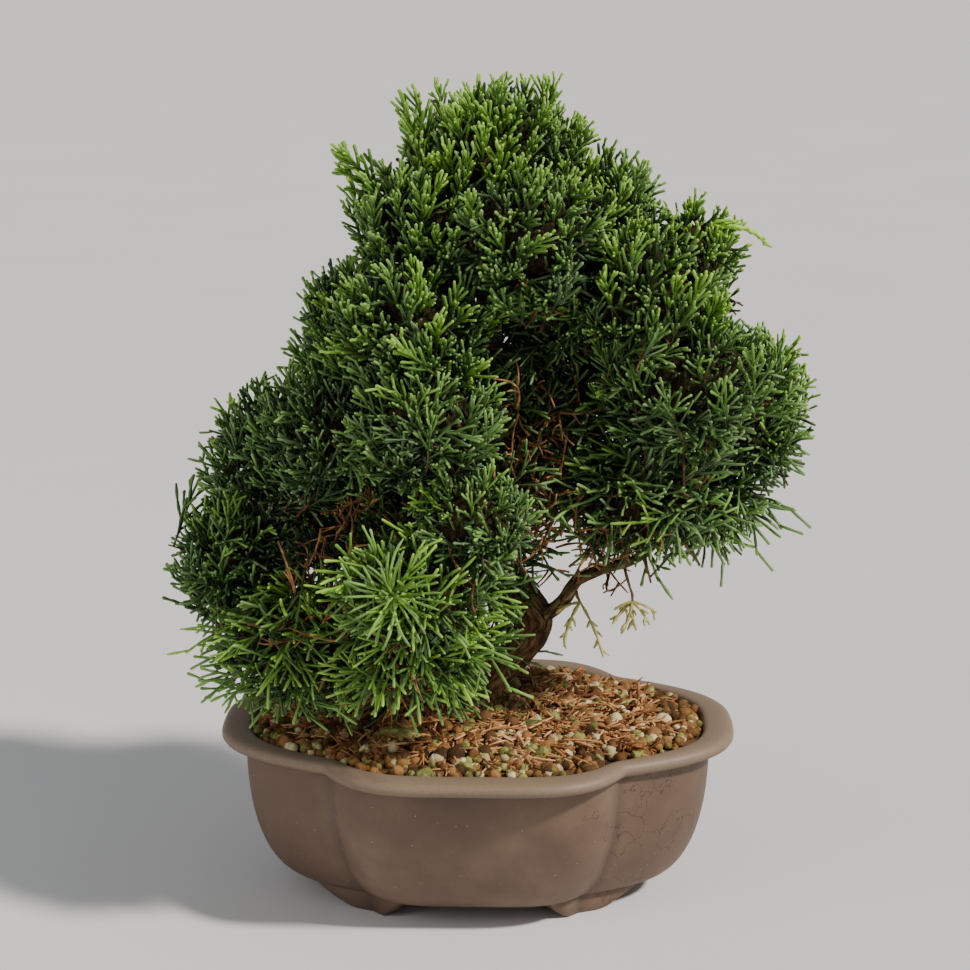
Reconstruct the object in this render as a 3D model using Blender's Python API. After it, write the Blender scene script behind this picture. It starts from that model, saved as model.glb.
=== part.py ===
"""A juniper bonsai in a four-lobed stoneware pot.

The pot is one fired piece on four bracket feet. It holds two drain screens with their
wire clips, the wire that ties the tree down, and the soil. The tree is a trunk with its
surface roots, the branches, and the foliage pads that the branches carry.

All sizes are millimetres, turned into metres by MM. The pot's own centre is (0, 0) on
the surface it stands on, and the empty "bonsai" moves the whole plant so that the
world origin is the centre of its footprint.
"""

import math

import bmesh
import bpy
from mathutils import Matrix, Vector, noise

MM = 0.001

# Pot: plan
POT_LENGTH = 210.0
POT_WIDTH = 160.0
NOTCH_SHARE = (0.567, 0.694)  # of half the length and width: where the lip's lobes meet
NOTCH_FILLET = 3.0
LOBE_SQUARE = (4.6, 3.0)  # how flat a long lobe and an end lobe are before they turn in

# Pot: profile
POT_HEIGHT = 70.0
FOOT_HEIGHT = 7.0
FLOOR = 6.0
WALL = 5.0
LIP_THICKNESS = 6.5
LIP_ROUND = 2.5
RIM_WIDTH = 12.5
# How far the body stands in from the lip, how much more it curves in down to its base,
# and how square that curve is: at the middle of a lobe, then at a notch.
LOBE_SIDE = (10.0, 24.5, 2.3)
NOTCH_SIDE = (4.0, 24.0, 1.9)
WALL_STEPS = (0.0, 0.2, 0.4, 0.58, 0.73, 0.86, 0.95, 1.0)
LOBE_STEPS = (13, 11)  # facets along a long lobe and along an end lobe
LOBE_FINE = 40  # points that a lobe is drawn through, each side of its middle

# Pot: feet
FOOT_INSET = 29.5
FOOT_NOTCH_INSET = 24.0
FOOT_THICKNESS = 7.0
FOOT_FLAT = (6.0, 8.0)  # flat length each side of the notch: long lobe, end lobe
FOOT_REACH = (15.5, 30.0)
FOOT_ROOT = 3.5  # how far a foot runs up into the floor

# Drainage
DRAIN_RADIUS = 9.5
DRAIN_SHARE = 0.36  # of half the pot's length: from the middle to a drain hole
SCREEN_SIZE = 25.0
SCREEN_THICKNESS = 1.0
SCREEN_CELLS = 5  # odd, so that the clip and the tie wire pass through cells
SCREEN_BAR = 1.4
CLIP_WIRE = 1.2
CLIP_LEG_OUT = 8.0
TIE_WIRE = 1.5

# Soil
SOIL_BELOW_RIM = 2.0
SOIL_MOUND = 7.0
SOIL_RIPPLE = 1.0

# Tree
TREE_HEIGHT = 258.0  # from the soil at the trunk to the top of the crown
DRAWN_HEIGHT = 258.0  # the height that the paths and pads below are drawn at
TRUNK_VOXEL = 2.0
TRUNK_TRIANGLES = 1100

# Gaps
FIT = 0.4  # between pieces that touch
LEAF_GAP = 0.8  # between neighbouring foliage pads

# The plant's footprint centre, seen from the pot's centre.
FOOTPRINT_CENTRE = (4.7, -2.5)

NOTCH_X = POT_LENGTH / 2 * NOTCH_SHARE[0]
NOTCH_Y = POT_WIDTH / 2 * NOTCH_SHARE[1]
DRAIN_X = POT_LENGTH / 2 * DRAIN_SHARE
LIP_UNDER = POT_HEIGHT - LIP_THICKNESS
RIM_TOP = POT_HEIGHT - LIP_ROUND / 2  # where the rim's flat turns down into the hollow
RIM_NOTCH_WIDTH = NOTCH_SIDE[0] + WALL * 0.8
FLOOR_TOP = FOOT_HEIGHT + FLOOR
SOIL_EDGE = POT_HEIGHT - SOIL_BELOW_RIM
SOIL_TOP = SOIL_EDGE + SOIL_MOUND

# Material: base colour, roughness, metallic
FINISHES = {
    "stoneware": ((0.16, 0.105, 0.075), 0.55, 0.0),
    "mesh_plastic": ((0.02, 0.02, 0.02), 0.5, 0.0),
    "wire": ((0.35, 0.20, 0.12), 0.4, 1.0),
    "soil": ((0.12, 0.055, 0.025), 0.95, 0.0),
    "pumice": ((0.62, 0.55, 0.40), 0.9, 0.0),
    "akadama": ((0.33, 0.12, 0.035), 0.95, 0.0),
    "moss": ((0.13, 0.19, 0.03), 0.95, 0.0),
    "bark": ((0.20, 0.085, 0.05), 0.9, 0.0),
    "foliage": ((0.05, 0.15, 0.035), 0.6, 0.0),
    "young_shoot": ((0.25, 0.42, 0.06), 0.55, 0.0),
    "faded_twig": ((0.50, 0.40, 0.14), 0.7, 0.0),
}

# Trunk centreline above the soil at its base: x, y, height, radius.
TRUNK = (
    (-1, 4, -16, 15),
    (-2, 4, -6, 15),
    (-3, 3, 4, 12.5),
    (2, 0, 16, 11),
    (14, -6, 27, 10),
    (22, -8, 38, 9),
    (17, -6, 48, 8.6),
    (8, -2, 56, 8.6),
    (4, 2, 67, 8.2),
    (5, 5, 80, 7.8),
    (13, 8, 98, 7.4),
    (23, 8, 116, 6.8),
    (28, 6, 137, 6.0),
    (26, 4, 158, 5.2),
    (18, 2, 177, 4.2),
    (11, 2, 196, 3.4),
    (9, 3, 222, 2.4),
)

# Surface roots: direction in degrees, reach, radius at the trunk.
ROOTS = ((-150, 34, 6), (-85, 30, 6.5), (-25, 36, 6), (40, 32, 5.5), (110, 34, 5.5), (170, 30, 5))
ROOT_DEPTH = 14.0

# Branches: radius at the trunk, radius at the end, then x, y, height of each point.
BRANCHES = {
    "branch_low_right": (
        3.6,
        1.5,
        ((21, -8, 38), (34, -17, 49), (40, -21, 60), (52, -24, 66), (66, -24, 71), (78, -18, 84)),
    ),
    "branch_skirt": (3.6, 1.3, ((-1, 1, 20), (-20, -14, 24), (-42, -26, 30), (-60, -32, 36))),
    "branch_low_front": (3.2, 1.3, ((0, -2, 34), (-8, -24, 33), (-20, -44, 38))),
    "branch_low_left": (3.8, 1.5, ((5, 1, 62), (-20, 4, 66), (-52, 6, 64), (-84, 6, 66))),
    "branch_front_left": (3.0, 1.2, ((5, 1, 70), (-6, -26, 68), (-16, -54, 69))),
    "branch_mid_front": (2.6, 1.2, ((6, 4, 82), (6, -22, 88), (2, -46, 94))),
    "branch_mid_left": (3.2, 1.4, ((8, 6, 90), (-18, 3, 98), (-46, 0, 110), (-76, 4, 108))),
    "branch_back_left": (3.0, 1.3, ((10, 8, 96), (-8, 26, 108), (-30, 42, 124))),
    "branch_back_low": (2.6, 1.2, ((5, 5, 76), (-12, 26, 80), (-50, 38, 78))),
    "branch_back": (2.4, 1.2, ((6, 6, 84), (12, 26, 90), (14, 46, 94))),
    "branch_left_front": (2.6, 1.2, ((16, 8, 104), (0, -14, 116), (-14, -36, 130))),
    "branch_right_mid": (3.2, 1.4, ((23, 8, 118), (46, 2, 124), (78, -6, 134), (106, 4, 126))),
    "branch_back_right": (2.6, 1.2, ((27, 7, 130), (44, 26, 136), (60, 38, 140))),
    "branch_upper_left": (2.6, 1.2, ((27, 5, 146), (4, -8, 152), (-18, -22, 162))),
    "branch_upper_right": (2.8, 1.2, ((26, 4, 156), (44, -8, 168), (60, -16, 178))),
    "branch_back_upper": (2.0, 1.0, ((22, 3, 168), (22, 22, 178), (20, 36, 182))),
    "branch_crown_right": (1.8, 1.0, ((17, 2, 180), (28, 2, 190), (38, 2, 198))),
    "branch_crown_left": (1.8, 1.0, ((14, 2, 188), (2, -2, 194), (-14, -6, 200))),
}

# Foliage pads: centre x, y, height, then half-sizes along x, y and z.
PADS = {
    "foliage_crown": (8, 4, 224, 41, 34, 34),
    "foliage_crown_left": (-22, -8, 200, 30, 32, 30),
    "foliage_crown_right": (44, 2, 200, 33, 34, 30),
    "foliage_upper_front": (20, -34, 199, 34, 26, 28),
    "foliage_shoulder": (62, -26, 181, 34, 28, 28),
    "foliage_shoulder_tip": (80, -6, 184, 23, 26, 24),
    "foliage_right": (84, -24, 140, 38, 30, 30),
    "foliage_right_end": (108, 8, 122, 26, 34, 38),
    "foliage_right_under": (62, -20, 94, 35, 30, 22),
    "foliage_right_low": (88, 4, 90, 34, 34, 22),
    "foliage_upper_left": (-24, -38, 166, 34, 28, 28),
    "foliage_left_shoulder": (-44, 0, 160, 28, 34, 30),
    "foliage_left": (-52, -18, 120, 36, 34, 28),
    "foliage_left_outer": (-77, 10, 104, 35, 38, 30),
    "foliage_left_low": (-96, 2, 62, 27, 38, 32),
    "foliage_left_front": (-18, -54, 130, 32, 24, 24),
    "foliage_mid_tuft": (0, -62, 94, 24, 22, 21),
    "foliage_front_tuft": (-22, -70, 68, 31, 22, 24),
    "foliage_front_skirt": (-26, -54, 40, 38, 26, 17),
    "foliage_left_skirt": (-72, -30, 36, 38, 34, 26),
    "foliage_back_upper": (20, 42, 180, 40, 30, 34),
    "foliage_back_right": (70, 48, 142, 38, 34, 34),
    "foliage_back_left": (-38, 52, 132, 40, 34, 36),
    "foliage_back": (16, 54, 110, 40, 30, 40),
    "foliage_back_low": (-66, 46, 76, 36, 34, 30),
}
PAD_POINTS = 92
STONE_POINTS = 42
PAD_LUMPS = 0.14
PAD_LUMP_SIZE = 16.0

# Hanging faded twigs and the long young shoot: radius, then x, y, height of each point.
TWIGS = {
    "faded_twig_left": (
        "faded_twig",
        0.9,
        ((38, -20, 60), (40, -23, 54), (43, -25, 48), (47, -27, 38)),
    ),
    "faded_twig_right": (
        "faded_twig",
        0.9,
        ((58, -23, 67), (61, -26, 58), (62, -26, 52), (60, -27, 36)),
    ),
    "young_shoot": (
        "young_shoot",
        1.1,
        ((90, -12, 200), (100, -12, 200), (108, -11, 197), (114, -10, 191)),
    ),
}
TWIG_CARRIERS = {"faded_twig_left": "branch_low_right", "faded_twig_right": "branch_low_right"}

# Loose pieces on the soil: finish, place as shares of the pot's half length and half
# width, then half-sizes.
TOP_PIECES = {
    "pumice_stone_left": ("pumice", -0.50, -0.45, 4.2, 3.4, 3.0),
    "pumice_stone_right": ("pumice", 0.72, -0.08, 4.6, 4.0, 3.4),
    "akadama_clod_right": ("akadama", 0.59, 0.38, 4.6, 4.2, 4.0),
    "akadama_clod_back": ("akadama", 0.25, 0.55, 6.0, 4.6, 4.4),
    "moss_patch_right": ("moss", 0.23, -0.28, 9.0, 6.0, 3.0),
    "moss_patch_left": ("moss", -0.29, -0.38, 11.0, 7.0, 3.0),
}
TOP_PIECE_SUNK = 0.35  # the share of a loose piece's height that the soil hides


def clear_scene():
    for obj in list(bpy.data.objects):
        bpy.data.objects.remove(obj, do_unlink=True)


def make_finish(name):
    colour, roughness, metallic = FINISHES[name]
    material = bpy.data.materials.new(name)
    material.use_nodes = True
    shader = material.node_tree.nodes["Principled BSDF"]
    shader.inputs["Base Color"].default_value = (*colour, 1.0)
    shader.inputs["Roughness"].default_value = roughness
    shader.inputs["Metallic"].default_value = metallic
    return material


def place(name, mesh, finish, centre=(0.0, 0.0, 0.0)):
    """An object for a mesh drawn in millimetres round `centre`, standing in the plant."""
    mesh.transform(Matrix.Scale(MM, 4))
    obj = bpy.data.objects.new(name, mesh)
    bpy.context.scene.collection.objects.link(obj)
    obj.parent = plant
    obj.location = Vector(centre) * MM
    if finish:
        obj.data.materials.append(finishes[finish])
        mesh.shade_smooth()
        mesh.set_sharp_from_angle(angle=math.radians(35))
    else:
        obj.hide_render = True
        obj.display_type = "WIRE"
    return obj


def mesh_of(bm):
    bmesh.ops.remove_doubles(bm, verts=bm.verts, dist=1e-3)
    bmesh.ops.recalc_face_normals(bm, faces=bm.faces)
    mesh = bpy.data.meshes.new("shape")
    bm.to_mesh(mesh)
    bm.free()
    return mesh


def lofted(rings):
    """A closed solid through rings of equal length, closed at both ends by a fan."""
    bm = bmesh.new()
    loops = [[bm.verts.new(point) for point in ring] for ring in rings]
    for low, high in zip(loops, loops[1:]):
        for i in range(len(low)):
            j = (i + 1) % len(low)
            bm.faces.new((low[i], low[j], high[j], high[i]))
    for loop in (loops[0], loops[-1]):
        middle = bm.verts.new(sum((v.co for v in loop), Vector()) / len(loop))
        for i, vertex in enumerate(loop):
            bm.faces.new((vertex, loop[(i + 1) % len(loop)], middle))
    return mesh_of(bm)


def modify(obj, kind, **settings):
    modifier = obj.modifiers.new(kind.title(), kind)
    for key, value in settings.items():
        setattr(modifier, key, value)
    return modifier


def applied(obj):
    """The object's evaluated mesh takes its own mesh's place, and the modifiers go."""
    bpy.context.view_layer.update()
    graph = bpy.context.evaluated_depsgraph_get()
    mesh = bpy.data.meshes.new_from_object(obj.evaluated_get(graph))
    obj.modifiers.clear()
    obj.data = mesh
    return obj


def box_of(obj):
    corners = [obj.matrix_world @ Vector(corner) for corner in obj.bound_box]
    return [min(c[k] for c in corners) for k in range(3)], [max(c[k] for c in corners) for k in range(3)]


def near(one, other):
    (low_a, high_a), (low_b, high_b) = box_of(one), box_of(other)
    return all(low_a[k] < high_b[k] and low_b[k] < high_a[k] for k in range(3))


def cut_by(obj, cutters):
    """Takes every cutter that reaches the object out of it."""
    bpy.context.view_layer.update()
    for cutter in cutters:
        if near(obj, cutter):
            modify(obj, "BOOLEAN", operation="DIFFERENCE", object=cutter)


# Pot


def plan_lobes(inset, notch_inset):
    """Lines of the front, right, back and left lobes, each from notch to notch."""
    share = 1 - notch_inset / math.hypot(NOTCH_X, NOTCH_Y)
    notch_x, notch_y = NOTCH_X * share, NOTCH_Y * share
    long_lobe = (POT_WIDTH / 2 - inset, notch_x, notch_y, LOBE_SQUARE[0])
    end_lobe = (POT_LENGTH / 2 - inset, notch_y, notch_x, LOBE_SQUARE[1])
    lobes = []
    for turns, (reach, half_chord, notch_out, square) in enumerate((long_lobe, end_lobe) * 2):
        turn = Matrix.Rotation(turns * math.pi / 2, 2)
        line = []
        for i in range(-LOBE_FINE, LOBE_FINE + 1):
            along = i / LOBE_FINE
            drawn_in = (reach - notch_out) * abs(along) ** square
            line.append(turn @ Vector((half_chord * along, drawn_in - reach)))
        lobes.append(line)
    return lobes


def length_of(line):
    return sum((b - a).length for a, b in zip(line, line[1:]))


def on_line(line, away):
    """The point at a length along a line."""
    for a, b in zip(line, line[1:]):
        step = (b - a).length
        if away < step:
            return a.lerp(b, away / step)
        away -= step
    return line[-1]


def plan(inset, notch_inset):
    """The pot's outline, moved in from the lip's edge at the lobes' middles and notches."""
    lobes = plan_lobes(inset, notch_inset)
    points = []
    for n, line in enumerate(lobes):
        steps = LOBE_STEPS[n % 2]
        run = length_of(line) - 2 * NOTCH_FILLET
        points += [on_line(line, NOTCH_FILLET + run * i / steps) for i in range(steps + 1)]
        start, corner, end = points[-1], line[-1], on_line(lobes[(n + 1) % 4], NOTCH_FILLET)
        for t in (0.25, 0.5, 0.75):
            points.append((1 - t) ** 2 * start + 2 * t * (1 - t) * corner + t * t * end)
    return points


def ring(inset, notch_inset, z):
    return [(p.x, p.y, z) for p in plan(inset, notch_inset)]


def body_height(step):
    """Height on the body's side, for a step from 0 under the lip to 1 at the base."""
    return LIP_UNDER - (LIP_UNDER - FOOT_HEIGHT) * step


def body_insets(z):
    """How far the body stands in from the lip at a height: mid lobe, and at a notch."""
    drop = min(1.0, max(0.0, (LIP_UNDER - z) / (LIP_UNDER - FOOT_HEIGHT)))
    insets = []
    for start, tuck, square in (LOBE_SIDE, NOTCH_SIDE):
        insets.append(start + tuck * (1 - (1 - drop**square) ** (1 / square)))
    return insets


def inside_rings(clearance, top):
    """Rings of the pot's hollow from the floor up to `top`, drawn in by a clearance."""
    heights = [body_height(step) for step in reversed(WALL_STEPS)]
    heights = [FLOOR_TOP] + [z for z in heights if FLOOR_TOP + FLOOR / 2 < z < LIP_UNDER + 1]
    rings = []
    for z in heights:
        inset, notch_inset = [side + WALL + clearance for side in body_insets(z)]
        rings.append((inset, notch_inset, z + (clearance if z == FLOOR_TOP else 0.0)))
    # The wall opens in a straight line from under the lip to the rim.
    climb = (top - LIP_UNDER) / (RIM_TOP - LIP_UNDER)
    inset, notch_inset, _ = rings[-1]
    opened = (LOBE_SIDE[0] + WALL - RIM_WIDTH) * climb
    notch_opened = (NOTCH_SIDE[0] + WALL - RIM_NOTCH_WIDTH) * climb
    rings.append((inset - opened, notch_inset - notch_opened, top))
    return rings


def foot_mesh(lobes_out, lobes_in, first):
    """A bracket foot that follows the base both ways from the notch after lobe `first`."""
    second = (first + 1) % 4
    sides = ((first, 1), (second, -1))
    stations = []
    for lobe_index, sign in sides:
        flat, reach = (FOOT_FLAT[lobe_index % 2], FOOT_REACH[lobe_index % 2])
        for share in (1.0, 0.75, 0.5, 0.25, 0.0):
            away = flat + (reach - flat) * share
            stations.append((lobe_index, sign, away, share))
        if sign == 1:
            stations.append((lobe_index, sign, 0.0, 0.0))
    stations = stations[:6] + stations[:5:-1]
    bm = bmesh.new()
    loops = []
    for lobe_index, sign, away, share in stations:
        corners = []
        for lobes in (lobes_out, lobes_in):
            corners.append(on_line(lobes[lobe_index][::-sign], away))
        low = (FOOT_HEIGHT + FOOT_ROOT / 2) * share**1.2
        high = FOOT_HEIGHT + FOOT_ROOT
        outer, inner = corners
        section = ((outer, low), (outer, high), (inner, high), (inner, low))
        loops.append([bm.verts.new((p.x, p.y, z)) for p, z in section])
    for a, b in zip(loops, loops[1:]):
        for i in range(4):
            j = (i + 1) % 4
            bm.faces.new((a[i], a[j], b[j], b[i]))
    bm.faces.new(loops[0])
    bm.faces.new(loops[-1])
    return mesh_of(bm)


def make_pot():
    outside = [(*body_insets(z), z) for z in [body_height(step) for step in reversed(WALL_STEPS)]]
    edge = [
        (LIP_ROUND * 0.5, LIP_UNDER + LIP_ROUND * 0.3),
        (0.0, LIP_UNDER + LIP_ROUND),
        (0.0, POT_HEIGHT - LIP_ROUND),
        (LIP_ROUND * 0.3, POT_HEIGHT - LIP_ROUND * 0.3),
        (LIP_ROUND, POT_HEIGHT),
    ]
    lip = [(inset, inset, z) for inset, z in edge]
    lip.append((RIM_WIDTH - LIP_ROUND / 2, RIM_NOTCH_WIDTH - LIP_ROUND / 2, POT_HEIGHT))
    profile = outside + lip + inside_rings(0.0, RIM_TOP)[::-1]
    pot = place("pot", lofted([ring(*place_in) for place_in in profile]), "stoneware")
    lobes_out = plan_lobes(FOOT_INSET, FOOT_NOTCH_INSET)
    lobes_in = plan_lobes(FOOT_INSET + FOOT_THICKNESS, FOOT_NOTCH_INSET + FOOT_THICKNESS)
    for first in range(4):
        foot = place(f"foot_shape_{first + 1}", foot_mesh(lobes_out, lobes_in, first), None)
        modify(pot, "BOOLEAN", operation="UNION", object=foot)
    for side, x in (("left", -DRAIN_X), ("right", DRAIN_X)):
        bm = bmesh.new()
        bmesh.ops.create_cone(
            bm, cap_ends=True, segments=24, radius1=DRAIN_RADIUS, radius2=DRAIN_RADIUS, depth=4 * FLOOR
        )
        hole = place(f"drain_hole_{side}", mesh_of(bm), None, (x, 0, FOOT_HEIGHT + FLOOR / 2))
        modify(pot, "BOOLEAN", operation="DIFFERENCE", object=hole)
    return pot


# Drainage


def make_screen(side, x):
    """A square of plastic mesh over a drain hole."""
    pitch = (SCREEN_SIZE - SCREEN_BAR) / SCREEN_CELLS
    lines = []
    for i in range(SCREEN_CELLS + 1):
        start = -SCREEN_SIZE / 2 + i * pitch
        lines += [start, start + SCREEN_BAR]
    bm = bmesh.new()
    grid = [[bm.verts.new((a, b, 0)) for b in lines] for a in lines]
    for i in range(len(lines) - 1):
        for j in range(len(lines) - 1):
            if i % 2 == 0 or j % 2 == 0:
                bm.faces.new((grid[i][j], grid[i + 1][j], grid[i + 1][j + 1], grid[i][j + 1]))
    screen = place(f"drain_screen_{side}", mesh_of(bm), "mesh_plastic", (x, 0, FLOOR_TOP + FIT))
    modify(screen, "SOLIDIFY", thickness=SCREEN_THICKNESS * MM, offset=1.0)
    return screen


def wire_shape(name, finish, points, diameter):
    return place(name, tube_mesh(points, [diameter / 2] * len(points), sides=6), finish)


def make_clip(side, x):
    """A bent wire that straddles the screen, with its legs folded out under the pot."""
    pitch = (SCREEN_SIZE - SCREEN_BAR) / SCREEN_CELLS
    leg = pitch
    above = FLOOR_TOP + FIT + SCREEN_THICKNESS + FIT + CLIP_WIRE / 2
    below = FOOT_HEIGHT - FIT - CLIP_WIRE / 2
    half = [
        (leg + CLIP_LEG_OUT, below),
        (leg + CLIP_WIRE, below),
        (leg, below + CLIP_WIRE),
        (leg, above - CLIP_WIRE),
        (leg - CLIP_WIRE, above),
    ]
    path = [(x, -y, z) for y, z in half] + [(x, y, z) for y, z in reversed(half)]
    return wire_shape(f"screen_clip_{side}", "wire", path, CLIP_WIRE)


def tie_path():
    """The tie wire: over the roots, down a drain hole, under the pot and up the other."""
    pitch = (SCREEN_SIZE - SCREEN_BAR) / SCREEN_CELLS
    hole = DRAIN_X - pitch
    under = FOOT_HEIGHT - FIT - TIE_WIRE / 2
    over = SOIL_EDGE - 16.0
    half = [
        (3.0, over + 3.0),
        (9.0, over),
        (hole - 4.0, FLOOR_TOP + 12.0),
        (hole, FLOOR_TOP + 6.0),
        (hole, under + 2 * TIE_WIRE),
        (hole - 2 * TIE_WIRE, under),
    ]
    y = -26.0
    # The two ends lie either side of the trunk's foot, and the wire crosses the floor's middle.
    down = [(-x, y * min(1.0, (hole - x) / 8.0) if z > FLOOR_TOP else 0.0, z) for x, z in half]
    up = [(x, p[1], z) for (x, z), p in zip(half, down)]
    return down + up[::-1]


# Soil


def soil_height(x, y):
    """Height of the soil's surface: a low mound at the trunk, rippled by its grains."""
    away = math.hypot(x / (POT_LENGTH / 2 - RIM_WIDTH), y / (POT_WIDTH / 2 - RIM_WIDTH))
    mound = SOIL_MOUND * max(0.0, 1 - away**1.6)
    ripple = SOIL_RIPPLE * noise.noise(Vector((x, y, 0)) / 9.0) * min(1.0, max(0.0, (1 - away) * 5))
    return SOIL_EDGE + mound + ripple


def make_soil(cutters):
    rings = [ring(*place_in) for place_in in inside_rings(FIT, SOIL_EDGE)]
    edge = rings[-1]
    for share in (0.88, 0.7, 0.5, 0.3):
        rings.append([(x * share, y * share, soil_height(x * share, y * share)) for x, y, _ in edge])
    soil = place("soil", lofted(rings), "soil")
    cut_by(soil, cutters)
    return soil


def screen_pockets():
    """Room in the soil for each screen and the crown of its clip."""
    pockets = []
    for side, x in (("left", -DRAIN_X), ("right", DRAIN_X)):
        tall = SCREEN_THICKNESS + CLIP_WIRE + 4 * FIT
        wide = SCREEN_SIZE + 2 * FIT
        bm = bmesh.new()
        bmesh.ops.create_cube(bm, size=1.0)
        bmesh.ops.scale(bm, vec=(wide, wide, 2 * tall), verts=bm.verts)
        pockets.append(place(f"screen_pocket_{side}", mesh_of(bm), None, (x, 0, FLOOR_TOP)))
    return pockets


def lump(half_sizes, count, seed, lumps=PAD_LUMPS):
    """A rounded lump through evenly spread points, hollowed by a smooth noise."""
    bm = bmesh.new()
    for i in range(count):
        z = 1 - (2 * i + 1) / count
        angle = i * math.pi * (3 - math.sqrt(5))
        around = math.sqrt(1 - z * z)
        bm.verts.new((around * math.cos(angle), around * math.sin(angle), z))
    bmesh.ops.convex_hull(bm, input=bm.verts)
    for vertex in bm.verts:
        vertex.co = Vector(vertex.co[k] * half_sizes[k] for k in range(3))
        shift = noise.noise(vertex.co / PAD_LUMP_SIZE + Vector((seed * 7.3, seed * 3.1, 0)))
        vertex.co *= 1 + lumps * (shift - 0.5)
    return bm


def make_top_pieces():
    """The largest loose stones, clods and moss patches, and the hollows they sit in."""
    pieces, hollows = [], []
    for seed, (name, (finish, along, across, *half_sizes)) in enumerate(TOP_PIECES.items()):
        x, y = along * POT_LENGTH / 2, across * POT_WIDTH / 2
        sunk = half_sizes[2] * (1 - 2 * TOP_PIECE_SUNK)
        centre = (x, y, soil_height(x, y) + sunk)
        mesh = mesh_of(lump(half_sizes, STONE_POINTS, seed, lumps=0.3))
        pieces.append(place(name, mesh, finish, centre))
        hollow = [size + 2 * FIT for size in half_sizes]
        mesh = mesh_of(lump(hollow, STONE_POINTS, seed, lumps=0.3))
        hollows.append(place(f"{name}_hollow", mesh, None, centre))
    return pieces, hollows


# Tree


def tree_point(x, y, height):
    """A point of the tree as drawn, at the tree's own size, planted in the pot."""
    scale = TREE_HEIGHT / DRAWN_HEIGHT
    return Vector((x * scale, y * scale, SOIL_TOP + height * scale))


def smooth_path(points, radii, steps):
    """Points and radii along a Catmull-Rom curve through the given ones."""
    points = [Vector(p) for p in points]
    path, sizes = [], []
    for i in range(len(points) - 1):
        before = points[max(i - 1, 0)]
        after = points[min(i + 2, len(points) - 1)]
        start, end = points[i], points[i + 1]
        for step in range(steps):
            t = step / steps
            pull = (end - before) * t + (2 * before - 5 * start + 4 * end - after) * t**2
            pull += (3 * start - before - 3 * end + after) * t**3
            path.append(start + pull / 2)
            sizes.append(radii[i] * (1 - t) + radii[i + 1] * t)
    return path + [points[-1]], sizes + [radii[-1]]


def tube_mesh(points, radii, sides=8):
    """A round tube along the points, as a curve with a bevel and filled caps makes it."""
    curve = bpy.data.curves.new("tube", "CURVE")
    curve.dimensions = "3D"
    curve.bevel_depth = 1.0
    curve.bevel_resolution = sides // 2 - 2
    curve.use_fill_caps = True
    spline = curve.splines.new("POLY")
    spline.points.add(len(points) - 1)
    for slot, point, radius in zip(spline.points, points, radii):
        slot.co = (*point, 1.0)
        slot.radius = radius
    guide = bpy.data.objects.new("tube", curve)
    bpy.context.scene.collection.objects.link(guide)
    bpy.context.view_layer.update()
    graph = bpy.context.evaluated_depsgraph_get()
    bm = bmesh.new()
    bm.from_mesh(bpy.data.meshes.new_from_object(guide.evaluated_get(graph)))
    bpy.data.objects.remove(guide)
    return mesh_of(bm)


def joined(meshes):
    bm = bmesh.new()
    for mesh in meshes:
        bm.from_mesh(mesh)
    together = bpy.data.meshes.new("together")
    bm.to_mesh(together)
    bm.free()
    return together


def make_trunk():
    """The trunk with its surface roots, grown together as one piece of wood."""
    points, radii = smooth_path([tree_point(*p[:3]) for p in TRUNK], [p[3] for p in TRUNK], 4)
    shapes = [tube_mesh(points, radii, sides=16)]
    for degrees, reach, radius in ROOTS:
        out = Vector((math.cos(math.radians(degrees)), math.sin(math.radians(degrees)), 0))
        foot = tree_point(*TRUNK[1][:2], 0)
        path = [
            foot + Vector((0, 0, radius)),
            foot + out * reach * 0.45 + Vector((0, 0, radius * 0.25)),
            foot + out * reach * 0.75 - Vector((0, 0, ROOT_DEPTH * 0.35)),
            foot + out * reach - Vector((0, 0, ROOT_DEPTH)),
        ]
        points, radii = smooth_path(path, [radius * 1.3, radius, radius * 0.7, radius * 0.4], 3)
        shapes.append(tube_mesh(points, radii, sides=10))
    trunk = place("trunk", joined(shapes), "bark")
    modify(trunk, "REMESH", mode="VOXEL", voxel_size=TRUNK_VOXEL * MM)
    applied(trunk)
    modify(trunk, "DECIMATE", ratio=TRUNK_TRIANGLES / (2 * len(trunk.data.polygons)))
    applied(trunk)
    trunk.data.shade_smooth()
    return trunk


def trunk_hollow(trunk, name, room):
    """The trunk's shape drawn out by some room, to cut what stands against it."""
    mesh = trunk.data.copy()
    mesh.transform(Matrix.Scale(1 / MM, 4))
    hollow = place(name, mesh, None)
    modify(hollow, "DISPLACE", strength=room * MM, mid_level=0.0)
    return applied(hollow)


def make_branch(name, thick, thin, points, finish="bark", start_cutters=()):
    """A tapering branch, and the larger tube that makes room for it in what it enters."""
    points = [tree_point(*p) for p in points]
    radii = [thick + (thin - thick) * i / (len(points) - 1) for i in range(len(points))]
    path, sizes = smooth_path(points, radii, 3)
    branch = place(name, tube_mesh(path, sizes), finish)
    cut_by(branch, start_cutters)
    room = [path[0], *path[1:-1], path[-1] + (path[-1] - path[-2]).normalized() * 2 * FIT]
    hollow = place(f"{name}_hollow", tube_mesh(room, [size + 2 * FIT for size in sizes]), None)
    return branch, hollow


# Foliage


def pad_centre(pad):
    return tree_point(*pad[:3])


def pad_sizes(pad):
    """A pad's half-sizes as drawn, at the tree's own size."""
    scale = TREE_HEIGHT / DRAWN_HEIGHT
    return [size * scale for size in pad[3:]]


def pad_reach(pad, direction):
    """How far a pad reaches along a direction from its centre."""
    sizes = pad_sizes(pad)
    return Vector(sizes[k] * direction[k] for k in range(3)).length


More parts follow.
